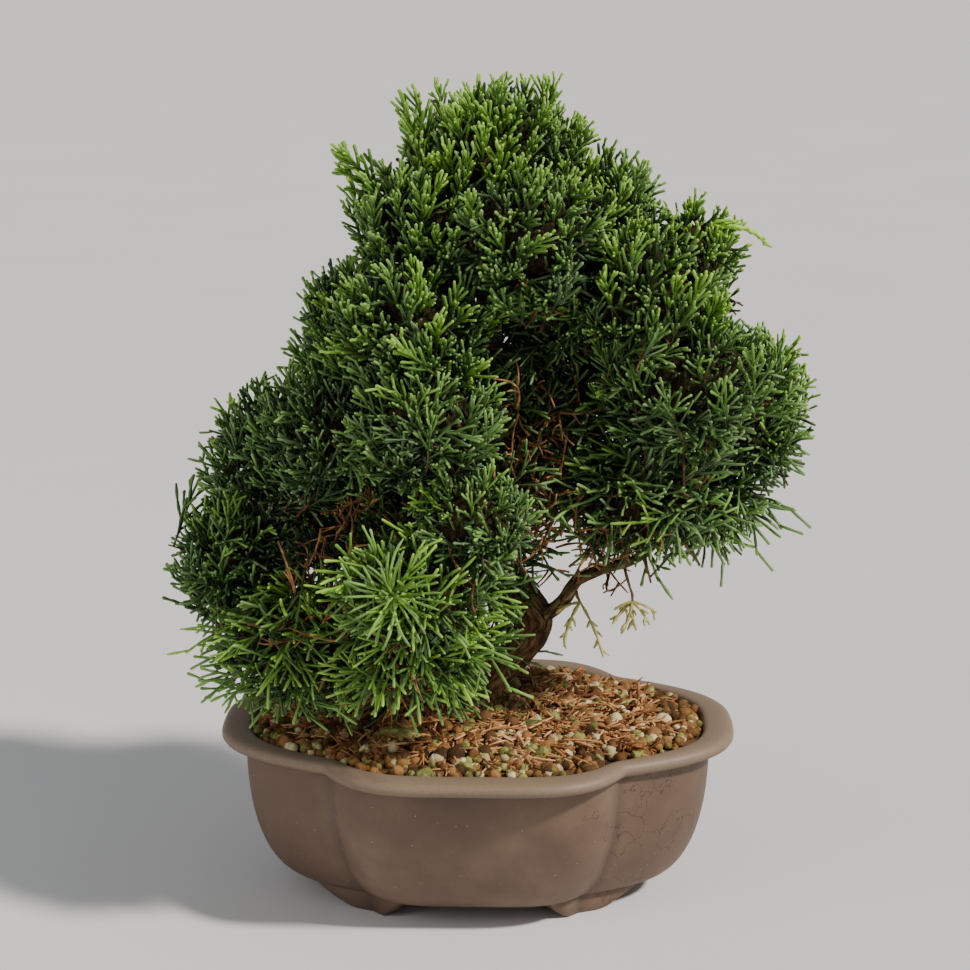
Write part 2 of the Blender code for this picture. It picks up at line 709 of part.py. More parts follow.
def make_pad(name, seed, cutters):
    """A foliage pad, cut flat where it presses against each neighbour."""
    pad = PADS[name]
    centre = pad_centre(pad)
    bm = lump(pad_sizes(pad), PAD_POINTS, seed)
    for other_name, other in PADS.items():
        if other_name == name:
            continue
        apart = pad_centre(other) - centre
        direction = apart.normalized()
        mine, theirs = pad_reach(pad, direction), pad_reach(other, direction)
        if mine + theirs < apart.length:
            continue
        middle = direction * (apart.length * mine / (mine + theirs) - LEAF_GAP / 2)
        everything = bm.verts[:] + bm.edges[:] + bm.faces[:]
        cut = bmesh.ops.bisect_plane(
            bm, geom=everything, dist=1e-4, plane_co=middle, plane_no=direction, clear_outer=True
        )
        rim = [item for item in cut["geom_cut"] if isinstance(item, bmesh.types.BMEdge)]
        if rim:
            bmesh.ops.contextual_create(bm, geom=rim)
    obj = place(name, mesh_of(bm), "foliage", centre)
    cut_by(obj, cutters)
    return obj


clear_scene()
finishes = {name: make_finish(name) for name in FINISHES}
plant = bpy.data.objects.new("bonsai", None)
plant.location = (-FOOTPRINT_CENTRE[0] * MM, -FOOTPRINT_CENTRE[1] * MM, 0)
bpy.context.scene.collection.objects.link(plant)

make_pot()
for side, x in (("left", -DRAIN_X), ("right", DRAIN_X)):
    make_screen(side, x)
    make_clip(side, x)
wire_shape("tie_wire", "wire", tie_path(), TIE_WIRE)
tie_hollow = wire_shape("tie_wire_hollow", None, tie_path(), TIE_WIRE + 4 * FIT)

trunk = make_trunk()
wood_hollows = [trunk_hollow(trunk, "trunk_hollow", 2 * FIT)]
branch_hollows = {}
for name, (thick, thin, points) in BRANCHES.items():
    _, hollow = make_branch(name, thick, thin, points, start_cutters=wood_hollows[:1])
    branch_hollows[name] = hollow
wood_hollows += branch_hollows.values()
for name, (finish, radius, points) in TWIGS.items():
    carriers = [branch_hollows[TWIG_CARRIERS[name]]] if name in TWIG_CARRIERS else []
    _, hollow = make_branch(name, radius, radius * 0.7, points, finish, carriers)
    wood_hollows.append(hollow)

_, piece_hollows = make_top_pieces()
root_hollow = trunk_hollow(trunk, "root_hollow", 3 * FIT)
make_soil([root_hollow, tie_hollow, *screen_pockets(), *piece_hollows])
for seed, name in enumerate(PADS):
    make_pad(name, seed, wood_hollows)
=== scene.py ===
"""The looks of a juniper bonsai in a four-lobed stoneware pot.

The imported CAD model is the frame: every piece here takes its place from a CAD node.
Lengths are millimetres, turned into metres by MM where a mesh or an object is made.
"""

import math

import bmesh
import bpy
import numpy as np
from mathutils import Matrix, Vector, kdtree, noise
from mathutils.bvhtree import BVHTree


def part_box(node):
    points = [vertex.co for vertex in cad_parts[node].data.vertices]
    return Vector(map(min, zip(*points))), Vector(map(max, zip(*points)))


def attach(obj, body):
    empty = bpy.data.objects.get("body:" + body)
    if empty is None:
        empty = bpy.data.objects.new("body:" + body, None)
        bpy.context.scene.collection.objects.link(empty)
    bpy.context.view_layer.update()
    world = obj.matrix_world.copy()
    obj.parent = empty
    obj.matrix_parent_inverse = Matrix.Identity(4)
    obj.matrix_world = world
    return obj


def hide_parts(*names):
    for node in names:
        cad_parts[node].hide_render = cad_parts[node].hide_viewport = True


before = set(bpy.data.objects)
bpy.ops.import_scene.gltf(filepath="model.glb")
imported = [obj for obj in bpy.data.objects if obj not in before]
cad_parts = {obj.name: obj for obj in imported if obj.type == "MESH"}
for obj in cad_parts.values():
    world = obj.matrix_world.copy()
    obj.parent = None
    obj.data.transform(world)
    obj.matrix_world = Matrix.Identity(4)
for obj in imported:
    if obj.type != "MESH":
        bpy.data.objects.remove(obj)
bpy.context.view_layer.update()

MM = 0.001
SEED = 7

pot_low, pot_high = [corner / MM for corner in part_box("pot")]
POT_CENTRE = (pot_low + pot_high) / 2
POT_LENGTH, POT_WIDTH, POT_HEIGHT = pot_high - pot_low
POT_CENTRE.z = 0.0

# Camera
CAMERA_TURN = 1.33  # degrees to the right of straight in front
CAMERA_RISE = 14.16  # degrees above level
CAMERA_AWAY = 1000.0
CAMERA_LENS = 92.2
CAMERA_AIM = (2.9, 0.0, 168.3)  # from the pot's centre

# Pot
NOTCH_X, NOTCH_Y = POT_LENGTH / 2 * 0.567, POT_WIDTH / 2 * 0.694
NOTCH_FILLET = 3.0
CREASE_FILLET = 0.8  # the walls' creases are crisper than the lip's
LOBE_SQUARE = (4.6, 3.0)
LOBE_FINE = 60
LIP_THICKNESS = 6.5
RIM_WIDTH = 12.5
WALL = 5.0
FOOT_HEIGHT = 7.0
FLOOR_TOP = 13.0
LOBE_SIDE = (10.0, 24.5, 2.3)
NOTCH_SIDE = (4.0, 24.0, 1.9)
LOBE_STEPS = (44, 36)
FOOT_INSET, FOOT_NOTCH_INSET, FOOT_THICKNESS = 29.5, 24.0, 7.0
FOOT_FLAT, FOOT_REACH = (6.0, 8.0), (15.5, 30.0)
DRAIN_RADIUS, DRAIN_X = 9.5, POT_LENGTH / 2 * 0.36

# Soil
SOIL_EDGE = 67.0
SOIL_MOUND = 7.5
GRAIN_SHARES = {"akadama": 0.46, "pumice": 0.17, "mossy": 0.27, "clod": 0.10}
GRAIN_COUNT = 2300
LITTER_COUNT = 980

# Foliage: how its sprays grow on each pad. Kind of spray, gap between sprays, how much
# they turn upwards, and how fresh their colour is.
PAD_GROWTH = {
    "foliage_crown": ("brush", 8.6, 0.8, 0.72),
    "foliage_crown_left": ("brush", 9.0, 0.8, 0.62),
    "foliage_crown_right": ("brush", 9.0, 0.7, 0.52),
    "foliage_upper_front": ("brush", 9.0, 0.5, 0.50),
    "foliage_shoulder": ("brush", 9.0, 0.6, 0.66),
    "foliage_shoulder_tip": ("brush", 9.0, 0.6, 0.72),
    "foliage_right": ("loose", 9.6, 0.3, 0.36),
    "foliage_right_end": ("loose", 9.4, 0.4, 0.50),
    "foliage_right_under": ("open", 11.0, -0.1, 0.30),
    "foliage_right_low": ("open", 10.6, 0.0, 0.32),
    "foliage_upper_left": ("brush", 9.2, 0.6, 0.58),
    "foliage_left_shoulder": ("brush", 9.4, 0.6, 0.56),
    "foliage_left": ("loose", 9.6, 0.5, 0.28),
    "foliage_left_outer": ("loose", 9.6, 0.6, 0.28),
    "foliage_left_low": ("loose", 10.0, 0.3, 0.38),
    "foliage_left_front": ("loose", 9.6, 0.3, 0.40),
    "foliage_mid_tuft": ("loose", 9.6, 0.3, 0.46),
    "foliage_front_tuft": ("star", 11.6, 0.1, 0.78),
    "foliage_front_skirt": ("open", 11.4, -0.25, 0.70),
    "foliage_left_skirt": ("open", 11.2, -0.05, 0.58),
    "foliage_back_upper": ("brush", 10.8, 0.6, 0.50),
    "foliage_back_right": ("loose", 11.2, 0.4, 0.40),
    "foliage_back_left": ("loose", 11.2, 0.4, 0.36),
    "foliage_back": ("loose", 11.4, 0.2, 0.32),
    "foliage_back_low": ("open", 11.6, 0.1, 0.32),
}

# Sprays: stem length, forks along the stem, forks on each of those, fork angle in degrees,
# length of the free tips, how the shoots curve up along the stem, shoot radius.
SPRAYS = {
    "brush": (17.0, 12, 0.55, (26, 50), (4.2, 6.6), 0.36, 0.66),
    "loose": (20.0, 9, 0.9, (28, 56), (6.0, 10.0), 0.26, 0.62),
    "open": (25.0, 7, 1.0, (26, 56), (8.0, 14.0), 0.06, 0.62),
    "star": (15.0, 8, 0.5, (22, 70), (9.0, 15.0), 0.10, 0.62),
    "stub": (5.0, 3, 0.0, (30, 70), (3.5, 6.0), 0.10, 0.66),
}
SPRAY_VARIANTS = 5
PALETTE_NUDGE = 0.008  # keeps each face's width in the palette map, at no visible change of colour
GAP_SHARE = 0.88
PAD_TUCK = 4.2  # how far the stems' ends stay inside the pad
INNER_SHARE, INNER_GAP = 0.74, 5.2
HEART_SHARE = 0.66
WOOD_SHOOTS = {
    "trunk": 56,
    "branch_right_mid": 21,
    "branch_upper_right": 14,
    "branch_mid_front": 16,
    "branch_mid_left": 14,
    "branch_upper_left": 12,
    "branch_low_left": 16,
    "branch_left_front": 14,
    "branch_front_left": 14,
    "branch_low_front": 14,
    "branch_skirt": 12,
    "branch_back_right": 12,
    "branch_back": 10,
}
STAR_PLACE, STAR_SHOOTS = (-29.0, 147.0), 40
# Single bright sprays that stand out of the crown: base and tip, from the pot's centre.
TIP_SPRAYS = (
    ((-37.0, -8.0, 288.0), (-50.0, -12.0, 303.0)),
    ((-36.0, -4.0, 282.0), (-49.5, -6.0, 295.0)),
    ((-21.0, -6.0, 302.0), (-28.0, -8.0, 320.0)),
    ((-19.0, -2.0, 304.0), (-23.0, -3.0, 322.0)),
    ((85.0, -6.0, 266.0), (94.0, -8.0, 279.0)),
    ((78.0, -5.0, 268.0), (85.0, -6.0, 282.0)),
    ((88.0, -2.0, 262.0), (100.0, -3.0, 272.0)),
)
# Old bare twigs that show in the gaps: middle from the pot's centre, radius, number.
BARE_TWIGS = (
    ((14.0, -16.0, 192.0), 24.0, 90),
    ((27.0, -20.0, 165.0), 18.0, 46),
    ((-2.0, -28.0, 172.0), 16.0, 24),
    ((-62.0, -44.0, 128.0), 22.0, 30),
    ((-28.0, -58.0, 112.0), 20.0, 22),
    ((48.0, -22.0, 152.0), 22.0, 34),
    ((-46.0, -34.0, 158.0), 18.0, 20),
)
SCALE_LEAF = 2.6  # distance between the swellings along a shoot
# Places between the pads that inner shoots close: middle from the pot's centre, radius, number.
FILLS = (
    ((-56.0, -14.0, 137.0), 17.0, 40),
    ((-20.0, -8.0, 152.0), 17.0, 40),
    ((-34.0, -20.0, 150.0), 14.0, 26),
    ((8.0, -4.0, 132.0), 9.0, 16),
    ((50.0, 6.0, 190.0), 16.0, 36),
    ((22.0, 4.0, 205.0), 18.0, 30),
    ((0.0, 4.0, 236.0), 16.0, 32),
)


# Shader nodes


class Amount:
    """A number that a shader works out. Arithmetic on it adds Math nodes."""

    def __init__(self, finish, socket):
        self.finish, self.socket = finish, socket

    def maths(self, operation, *values):
        node = self.finish.add("ShaderNodeMath", {"operation": operation}, dict(enumerate(values)))
        return Amount(self.finish, node.outputs[0])

    def __add__(self, other):
        return self.maths("ADD", self, other)

    def __sub__(self, other):
        return self.maths("SUBTRACT", self, other)

    def __rsub__(self, other):
        return self.maths("SUBTRACT", other, self)

    def __mul__(self, other):
        return self.maths("MULTIPLY", self, other)

    def __truediv__(self, other):
        return self.maths("DIVIDE", self, other)

    def __pow__(self, other):
        return self.maths("POWER", self, other)

    __radd__ = __add__
    __rmul__ = __mul__

    def between(self, low, high):
        """0 up to `low`, 1 from `high`, and smooth in between; falling if low is above high."""
        node = self.finish.add(
            "ShaderNodeMapRange", {"interpolation_type": "SMOOTHSTEP"}, {0: self, 1: low, 2: high, 3: 0.0, 4: 1.0}
        )
        return Amount(self.finish, node.outputs[0])


def socket_name(key):
    """The Principled shader's socket for a name such as specular_ior_level."""
    return key.replace("_", " ").title().replace("Ior", "IOR")


class Finish:
    """A material: one Principled shader, and the nodes that vary it over a surface."""

    def __init__(self, name, **constants):
        self.material = bpy.data.materials.new(name)
        self.material.use_nodes = True
        self.shader = self.material.node_tree.nodes["Principled BSDF"]
        for key, value in constants.items():
            self.shader.inputs[socket_name(key)].default_value = value

    def add(self, kind, settings=None, sockets=None):
        """Adds a node: its settings first, then the values or links of its sockets."""
        node = self.material.node_tree.nodes.new(kind)
        for key, value in (settings or {}).items():
            if key == "stops":
                ramp = node.color_ramp
                while len(ramp.elements) < len(value):
                    ramp.elements.new(0.5)
                for element, (position, colour) in zip(ramp.elements, value):
                    element.position = position
                    element.color = (*colour, 1.0)
            else:
                setattr(node, key, value)
        for key, value in (sockets or {}).items():
            self.plug(node.inputs[key], value)
        return node

    def plug(self, socket, value):
        source = getattr(value, "socket", value)
        if isinstance(source, bpy.types.NodeSocket):
            self.material.node_tree.links.new(source, socket)
        elif isinstance(source, tuple) and len(source) == 3 and len(socket.default_value) == 4:
            socket.default_value = (*source, 1.0)
        else:
            socket.default_value = source

    def drive(self, **sockets):
        """Feeds the shader's own sockets, such as base_color, from nodes."""
        for key, value in sockets.items():
            self.plug(self.shader.inputs[socket_name(key)], value)

    def places(self, scale=(1.0, 1.0, 1.0), turned=(0.0, 0.0, 0.0)):
        """Object coordinates in centimetres, stretched by `scale`."""
        where = self.add("ShaderNodeTexCoord").outputs["Object"]
        size = tuple(100.0 * s for s in scale)
        return self.add("ShaderNodeMapping", None, {"Vector": where, "Scale": size, "Rotation": turned}).outputs[0]

    def own(self, attribute, scale=(1.0, 1.0, 1.0)):
        where = self.add("ShaderNodeAttribute", {"attribute_name": attribute}).outputs["Vector"]
        return self.add("ShaderNodeMapping", None, {"Vector": where, "Scale": scale}).outputs[0]

    def clouds(self, where, scale, detail=3.0, rough=0.55, bend=0.0):
        sockets = {"Vector": where, "Scale": scale, "Detail": detail, "Roughness": rough, "Distortion": bend}
        return Amount(self, self.add("ShaderNodeTexNoise", None, sockets).outputs[0])

    def cells(self, where, scale, feature="F1", output="Distance", spread=1.0):
        sockets = {"Vector": where, "Scale": scale, "Randomness": spread}
        node = self.add("ShaderNodeTexVoronoi", {"feature": feature}, sockets)
        if output == "Color":
            return node.outputs["Color"]
        return Amount(self, node.outputs[output])

    def part_of(self, colour):
        """One number from a cell's random colour."""
        return Amount(self, self.add("ShaderNodeSeparateColor", None, {0: colour}).outputs[0])

    def blend(self, share, first, second, mode="MIX"):
        settings = {"data_type": "RGBA", "blend_type": mode}
        return self.add("ShaderNodeMix", settings, {0: share, 6: first, 7: second}).outputs[2]

    def ramp(self, share, stops):
        return self.add("ShaderNodeValToRGB", {"stops": stops}, {0: share}).outputs[0]

    def relief(self, height, depth, strength=1.0, under=None):
        """A Bump node for heights from 0 to 1, `depth` millimetres apart."""
        sockets = {"Height": height, "Distance": depth * MM, "Strength": strength}
        if under:
            sockets["Normal"] = under
        return self.add("ShaderNodeBump", None, sockets).outputs[0]


def make_stoneware():
    finish = Finish("unglazed stoneware", specular_ior_level=0.42)
    where = finish.places()
    broad = finish.clouds(where, 0.35, detail=4.0)
    fine = finish.clouds(where, 9.0, detail=5.0, rough=0.65)
    clay = finish.ramp(broad, [(0.3, (0.090, 0.054, 0.035)), (0.55, (0.124, 0.077, 0.051)), (0.75, (0.166, 0.108, 0.074))])
    clay = finish.blend((fine - 0.5) * 0.9 + 0.5, clay, finish.blend(1.0, clay, (1.35, 1.32, 1.3), "MULTIPLY"))
    smudge = finish.clouds(where, 0.8, detail=6.0, rough=0.7, bend=1.2).between(0.6, 0.72) * 0.3
    clay = finish.blend(smudge, clay, (0.070, 0.042, 0.029))
    # Fine branching crackle on the right end of the pot.
    wander = finish.add("ShaderNodeTexNoise", None, {"Vector": where, "Scale": 1.3, "Detail": 4.0}).outputs[1]
    bent = finish.add("ShaderNodeVectorMath", {"operation": "MULTIPLY_ADD"}, {0: wander, 1: (1.5, 1.5, 1.5), 2: where}).outputs[0]
    cracks = finish.cells(bent, 0.85, feature="DISTANCE_TO_EDGE")
    east = Amount(finish, finish.add("ShaderNodeSeparateXYZ", None, {0: where}).outputs[0]).between(1.6, 5.4)
    thin = cracks.between(0.019, 0.004) * finish.clouds(where, 0.55).between(0.44, 0.52) * east
    clay = finish.blend(thin * 0.85, clay, (0.060, 0.026, 0.017))
    high = Amount(finish, finish.add("ShaderNodeSeparateXYZ", None, {0: where}).outputs[2])
    # Painted highlight: the lip's top band is painted lighter and made a little glossier.
    wear_and_sheen = high.between(POT_HEIGHT / 10 - 0.75, POT_HEIGHT / 10 - 0.1) * (0.45 + fine * 0.8)
    clay = finish.blend(wear_and_sheen, clay, (0.268, 0.190, 0.128))
    # Painted shade: the creases below the lip are painted darker.
    settings = {"operation": "SUBTRACT"}
    off_middle = finish.add("ShaderNodeVectorMath", settings, {0: where, 1: tuple(POT_CENTRE / 10)}).outputs[0]
    sides = [Amount(finish, side) for side in finish.add("ShaderNodeSeparateXYZ", None, {0: off_middle}).outputs[:2]]
    aside, ahead = [side.maths("ABSOLUTE", side) for side in sides]
    reach = math.hypot(NOTCH_X, NOTCH_Y)
    off_crease = aside * (NOTCH_Y / reach) - ahead * (NOTCH_X / reach)
    off_crease = off_crease.maths("ABSOLUTE", off_crease)
    painted_crease_shade = off_crease.between(0.55, 0.0) * high.between(6.3, 6.1) * (0.2 + fine * 0.4)
    clay = finish.blend(painted_crease_shade, clay, (0.048, 0.031, 0.023))
    speck = finish.cells(where, 7.0)
    rare = finish.part_of(finish.cells(where, 7.0, output="Color")).between(0.965, 0.975)
    speck = speck.between(0.16, 0.10) * rare
    clay = finish.blend(speck * 0.8, clay, (0.55, 0.50, 0.44))
    finish.drive(base_color=clay, roughness=0.5 + broad * 0.16 - smudge * 0.2 - wear_and_sheen * 0.08)
    grain = finish.clouds(where, 26.0, detail=3.0)
    finish.drive(normal=finish.relief(grain * 0.6 + fine * 0.6 - thin * 0.5, 0.16, 0.7))
    return finish.material


def make_bark():
    """Bark in long thin flakes: brown furrows, tan flakes, red under-bark and olive lichen."""
    finish = Finish("flaking bark", specular_ior_level=0.22)
    along = finish.own("along_grain")
    grain = finish.own("along_grain", (1.0, 1.0, 0.3))
    long_grain = finish.clouds(grain, 260.0, detail=6.0, rough=0.7, bend=0.8)
    broad = finish.clouds(along, 70.0, detail=4.0)
    flake_places = finish.own("along_grain", (1.0, 1.0, 0.26))
    flakes = finish.cells(flake_places, 420.0)
    each = finish.part_of(finish.cells(flake_places, 420.0, output="Color"))
    colour = finish.ramp(
        long_grain * 0.86 + each * 0.14,
        [(0.30, (0.016, 0.009, 0.004)), (0.42, (0.075, 0.040, 0.016)), (0.54, (0.185, 0.110, 0.046)), (0.70, (0.40, 0.28, 0.14))],
    )
    red = finish.clouds(along, 95.0, detail=3.0).between(0.50, 0.62)
    colour = finish.blend(red * 0.6, colour, (0.165, 0.052, 0.022))
    lichen = broad.between(0.50, 0.60)
    colour = finish.blend(lichen * 0.65, colour, finish.blend(each, (0.095, 0.095, 0.032), (0.26, 0.25, 0.11)))
    edge = flakes.between(0.45, 0.75)
    colour = finish.blend(edge * 0.55, colour, (0.020, 0.012, 0.006))
    finish.drive(base_color=colour, roughness=0.8 + long_grain * 0.2)
    finish.drive(normal=finish.relief(long_grain * 0.7 + each * 0.4 - edge * 0.8, 1.3, 1.0))
    return finish.material


def make_twig_bark(name, *tones):
    finish = Finish(name, specular_ior_level=0.3)
    where = finish.places()
    tone = finish.clouds(where, 2.5, detail=4.0)
    colour = finish.ramp(tone, list(zip((0.34, 0.5, 0.62, 0.74), tones)))
    finish.drive(base_color=colour, roughness=0.7 + tone * 0.2)
    finish.drive(normal=finish.relief(finish.clouds(where, 14.0, detail=3.0), 0.3, 0.6))
    return finish.material


# A palette map's across is how fresh a shoot is, and its up is how near its tip, lowered on inner shoots as painted
# shade.
LEAF_TONES = {
    0.0: ((0.085, 0.048, 0.018), (0.030, 0.054, 0.018), (0.102, 0.166, 0.070), (0.265, 0.385, 0.180)),
    0.5: ((0.085, 0.060, 0.020), (0.027, 0.064, 0.012), (0.100, 0.208, 0.040), (0.310, 0.540, 0.118)),
    1.0: ((0.090, 0.100, 0.024), (0.044, 0.112, 0.012), (0.180, 0.360, 0.036), (0.520, 0.830, 0.105)),
}
LEAF_STAGES = (0.0, 0.22, 0.74, 1.0)


def make_shoots_finish(name, tones, roughness=0.5, specular=0.4):
    """A finish for shoots, whose colour comes from their palette map alone."""
    finish = Finish(name, specular_ior_level=specular)
    palette = finish.add("ShaderNodeUVMap", {"uv_map": "OFBake"}).outputs[0]
    parts = finish.add("ShaderNodeSeparateXYZ", None, {0: palette})
    fresh, near_tip = [Amount(finish, output) for output in parts.outputs[:2]]
    ramps = [finish.ramp(near_tip, list(zip(LEAF_STAGES, tone))) for tone in tones]
    colour = finish.blend(fresh.between(0.0, 0.5), ramps[0], ramps[1])
    if len(ramps) > 2:
        colour = finish.blend(fresh.between(0.5, 1.0), colour, ramps[2])
    finish.drive(base_color=colour, roughness=roughness + near_tip * 0.06)
    return finish.material


def make_heart_finish():
    """Old twigs and needles in a pad's middle: near black as painted shade, with brown and green streaks."""
    finish = Finish("inner twigs and painted shade", specular_ior_level=0.1)
    streaks = finish.clouds(finish.places((1.0, 1.0, 0.35)), 5.0, detail=6.0, rough=0.7, bend=1.5)
    colour = finish.ramp(
        streaks, [(0.36, (0.010, 0.008, 0.004)), (0.52, (0.034, 0.026, 0.011)), (0.64, (0.095, 0.050, 0.020)), (0.74, (0.07, 0.10, 0.035))]
    )
    finish.drive(base_color=colour, roughness=0.9 + streaks * 0.1)
    finish.drive(normal=finish.relief(streaks, 1.5, 1.0))
    return finish.material


def make_granule(name, dark, light, tint, roughness=0.9, tint_share=0.3):
    """Substrate grains: each its own tone, with dusty and stained patches."""
    finish = Finish(name, specular_ior_level=0.2)
    where = finish.places()
    each = finish.part_of(finish.cells(where, 1.7, output="Color"))
    fine = finish.clouds(where, 9.0, detail=5.0, rough=0.7)
    colour = finish.blend((each * 0.55 + fine * 0.6).between(0.2, 0.85), dark, light)
    stain = finish.clouds(where, 3.2, detail=3.0).between(0.52, 0.66) * tint_share
    colour = finish.blend(stain, colour, tint)
    finish.drive(base_color=colour, roughness=roughness - fine * 0.12)
    pores = finish.cells(where, 26.0)
    finish.drive(normal=finish.relief(fine * 0.8 + pores * 0.4, 0.5, 0.9))
    return finish.material


def make_plain(name, colour, roughness, metallic=0.0, depth=0.08):
    """Small hardware: nearly even colour, with wear that shows in tone and gloss."""
    finish = Finish(name, metallic=metallic)
    where = finish.places()
    wear = finish.clouds(where, 6.0, detail=4.0)
    wear_and_sheen = finish.blend(1.0, colour, (1.5, 1.45, 1.4), "MULTIPLY")
    finish.drive(base_color=finish.blend(wear.between(0.4, 0.75), colour, wear_and_sheen))
    finish.drive(roughness=roughness + wear * 0.2 - 0.1)
    finish.drive(normal=finish.relief(finish.clouds(where, 30.0), depth, 0.5))
    return finish.material


def make_floor_finish():
    finish = Finish("pale floor", specular_ior_level=0.3)
    tone = finish.clouds(finish.places(), 0.05, detail=2.0)
    finish.drive(base_color=finish.blend(tone, (0.80, 0.79, 0.77), (0.84, 0.83, 0.81)))
    finish.drive(roughness=0.6 + tone * 0.1)
    return finish.material


# Pieces


def settle(piece, finish, replaced=()):
    """Gives a finished piece its material and its place on the plant's one body."""
    piece.data.materials.clear()
    piece.data.materials.append(finish)
    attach(piece, "root")
    if replaced:
        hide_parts(*replaced)
    return piece


def smooth(piece, degrees=60):
    bpy.ops.object.select_all(action="DESELECT")
    piece.select_set(True)
    bpy.context.view_layer.objects.active = piece
    bpy.ops.object.shade_smooth_by_angle(angle=math.radians(degrees))


def apply_modifier(piece, kind, **settings):
    modifier = piece.modifiers.new(kind.title(), kind)
    for key, value in settings.items():
        setattr(modifier, key, value)
    bpy.ops.object.select_all(action="DESELECT")
    piece.select_set(True)
    bpy.context.view_layer.objects.active = piece
    bpy.ops.object.modifier_apply(modifier=modifier.name)


def extruded(name, rings):
    """A closed shell: a disc on the first ring, extruded to each later ring in turn."""
    bpy.ops.object.select_all(action="DESELECT")
    bpy.ops.mesh.primitive_circle_add(vertices=len(rings[0]), radius=1.0, fill_type="NGON")
    piece = bpy.context.object
    piece.name = name
    for vertex, point in zip(piece.data.vertices, rings[0]):
        vertex.co = point
    bpy.ops.object.mode_set(mode="EDIT")
    bpy.ops.mesh.select_all(action="SELECT")
    for before, after in zip(rings, rings[1:]):
        bpy.ops.mesh.extrude_region_move()
        shape = bmesh.from_edit_mesh(piece.data)
        near = kdtree.KDTree(len(before))
        for n, point in enumerate(before):
            near.insert(point, n)
        near.balance()
        for vertex in shape.verts:
            if vertex.select:
                vertex.co = after[near.find(vertex.co)[1]]
        bmesh.update_edit_mesh(piece.data)
    bpy.ops.mesh.select_all(action="SELECT")
    bpy.ops.mesh.normals_make_consistent(inside=False)
    bpy.ops.object.mode_set(mode="OBJECT")
    piece.data.transform(Matrix.Scale(MM, 4))
    return piece


def from_parts(name, corners, quads, palette=None):
    """A mesh from arrays in millimetres: corners, four-cornered faces and a palette map."""
    mesh = bpy.data.meshes.new(name)
    mesh.vertices.add(len(corners))
    mesh.vertices.foreach_set("co", (corners * MM).astype(np.float32).ravel())
    mesh.loops.add(quads.size)
    mesh.loops.foreach_set("vertex_index", quads.astype(np.int32).ravel())
    mesh.polygons.add(len(quads))
    mesh.polygons.foreach_set("loop_start", np.arange(0, quads.size, 4, dtype=np.int32))
    mesh.polygons.foreach_set("use_smooth", np.ones(len(quads), bool))
    mesh.update(calc_edges=True)
    if palette is not None:
        number = np.arange(len(palette))
        nudge = np.stack([number % 2, (number // 2 % 2 + number // 4) % 2], axis=1)
        palette = np.minimum(palette, 0.99) + PALETTE_NUDGE * nudge
        layer = mesh.uv_layers.new(name="OFBake")
        layer.data.foreach_set("uv", palette[quads.ravel()].astype(np.float32).ravel())
    piece = bpy.data.objects.new(name, mesh)
    bpy.context.scene.collection.objects.link(piece)
    return piece


# Pot


def plan_lobes(inset, notch_inset):
    """Lines of the front, right, back and left lobes, each from notch to notch."""
    share = 1 - notch_inset / math.hypot(NOTCH_X, NOTCH_Y)
    notch_x, notch_y = NOTCH_X * share, NOTCH_Y * share
    long_lobe = (POT_WIDTH / 2 - inset, notch_x, notch_y, LOBE_SQUARE[0])
    end_lobe = (POT_LENGTH / 2 - inset, notch_y, notch_x, LOBE_SQUARE[1])
    lobes = []
    for turns, (reach, half_chord, notch_out, square) in enumerate((long_lobe, end_lobe) * 2):
        turn = Matrix.Rotation(turns * math.pi / 2, 2)
        line = []
        for i in range(-LOBE_FINE, LOBE_FINE + 1):
            along = i / LOBE_FINE
            line.append(turn @ Vector((half_chord * along, (reach - notch_out) * abs(along) ** square - reach)))
        lobes.append(line)
    return lobes


def length_of(line):
    return sum((b - a).length for a, b in zip(line, line[1:]))


def on_line(line, away):
    """The point at a length along a line."""
    for a, b in zip(line, line[1:]):
        step = (b - a).length
        if away < step:
            return a.lerp(b, away / step)
        away -= step
    return line[-1]


def plan(inset, notch_inset, fillet=NOTCH_FILLET):
    """The pot's outline, moved in from the lip's edge at the lobes' middles and notches."""
    lobes = plan_lobes(inset, notch_inset)
    points = []
    for n, line in enumerate(lobes):
        steps = LOBE_STEPS[n % 2]
        run = length_of(line) - 2 * fillet
        points += [on_line(line, fillet + run * i / steps) for i in range(steps + 1)]
        start, corner, end = points[-1], line[-1], on_line(lobes[(n + 1) % 4], fillet)
        for i in range(1, 8):
            t = i / 8
            points.append((1 - t) ** 2 * start + 2 * t * (1 - t) * corner + t * t * end)
    return points


def pot_ring(inset, notch_inset, z, fillet=NOTCH_FILLET):
    return [(p.x + POT_CENTRE.x, p.y + POT_CENTRE.y, z) for p in plan(inset, notch_inset, fillet)]


def body_insets(z):
    under = POT_HEIGHT - LIP_THICKNESS
    drop = min(1.0, max(0.0, (under - z) / (under - FOOT_HEIGHT)))
    return [start + tuck * (1 - (1 - drop**square) ** (1 / square)) for start, tuck, square in (LOBE_SIDE, NOTCH_SIDE)]


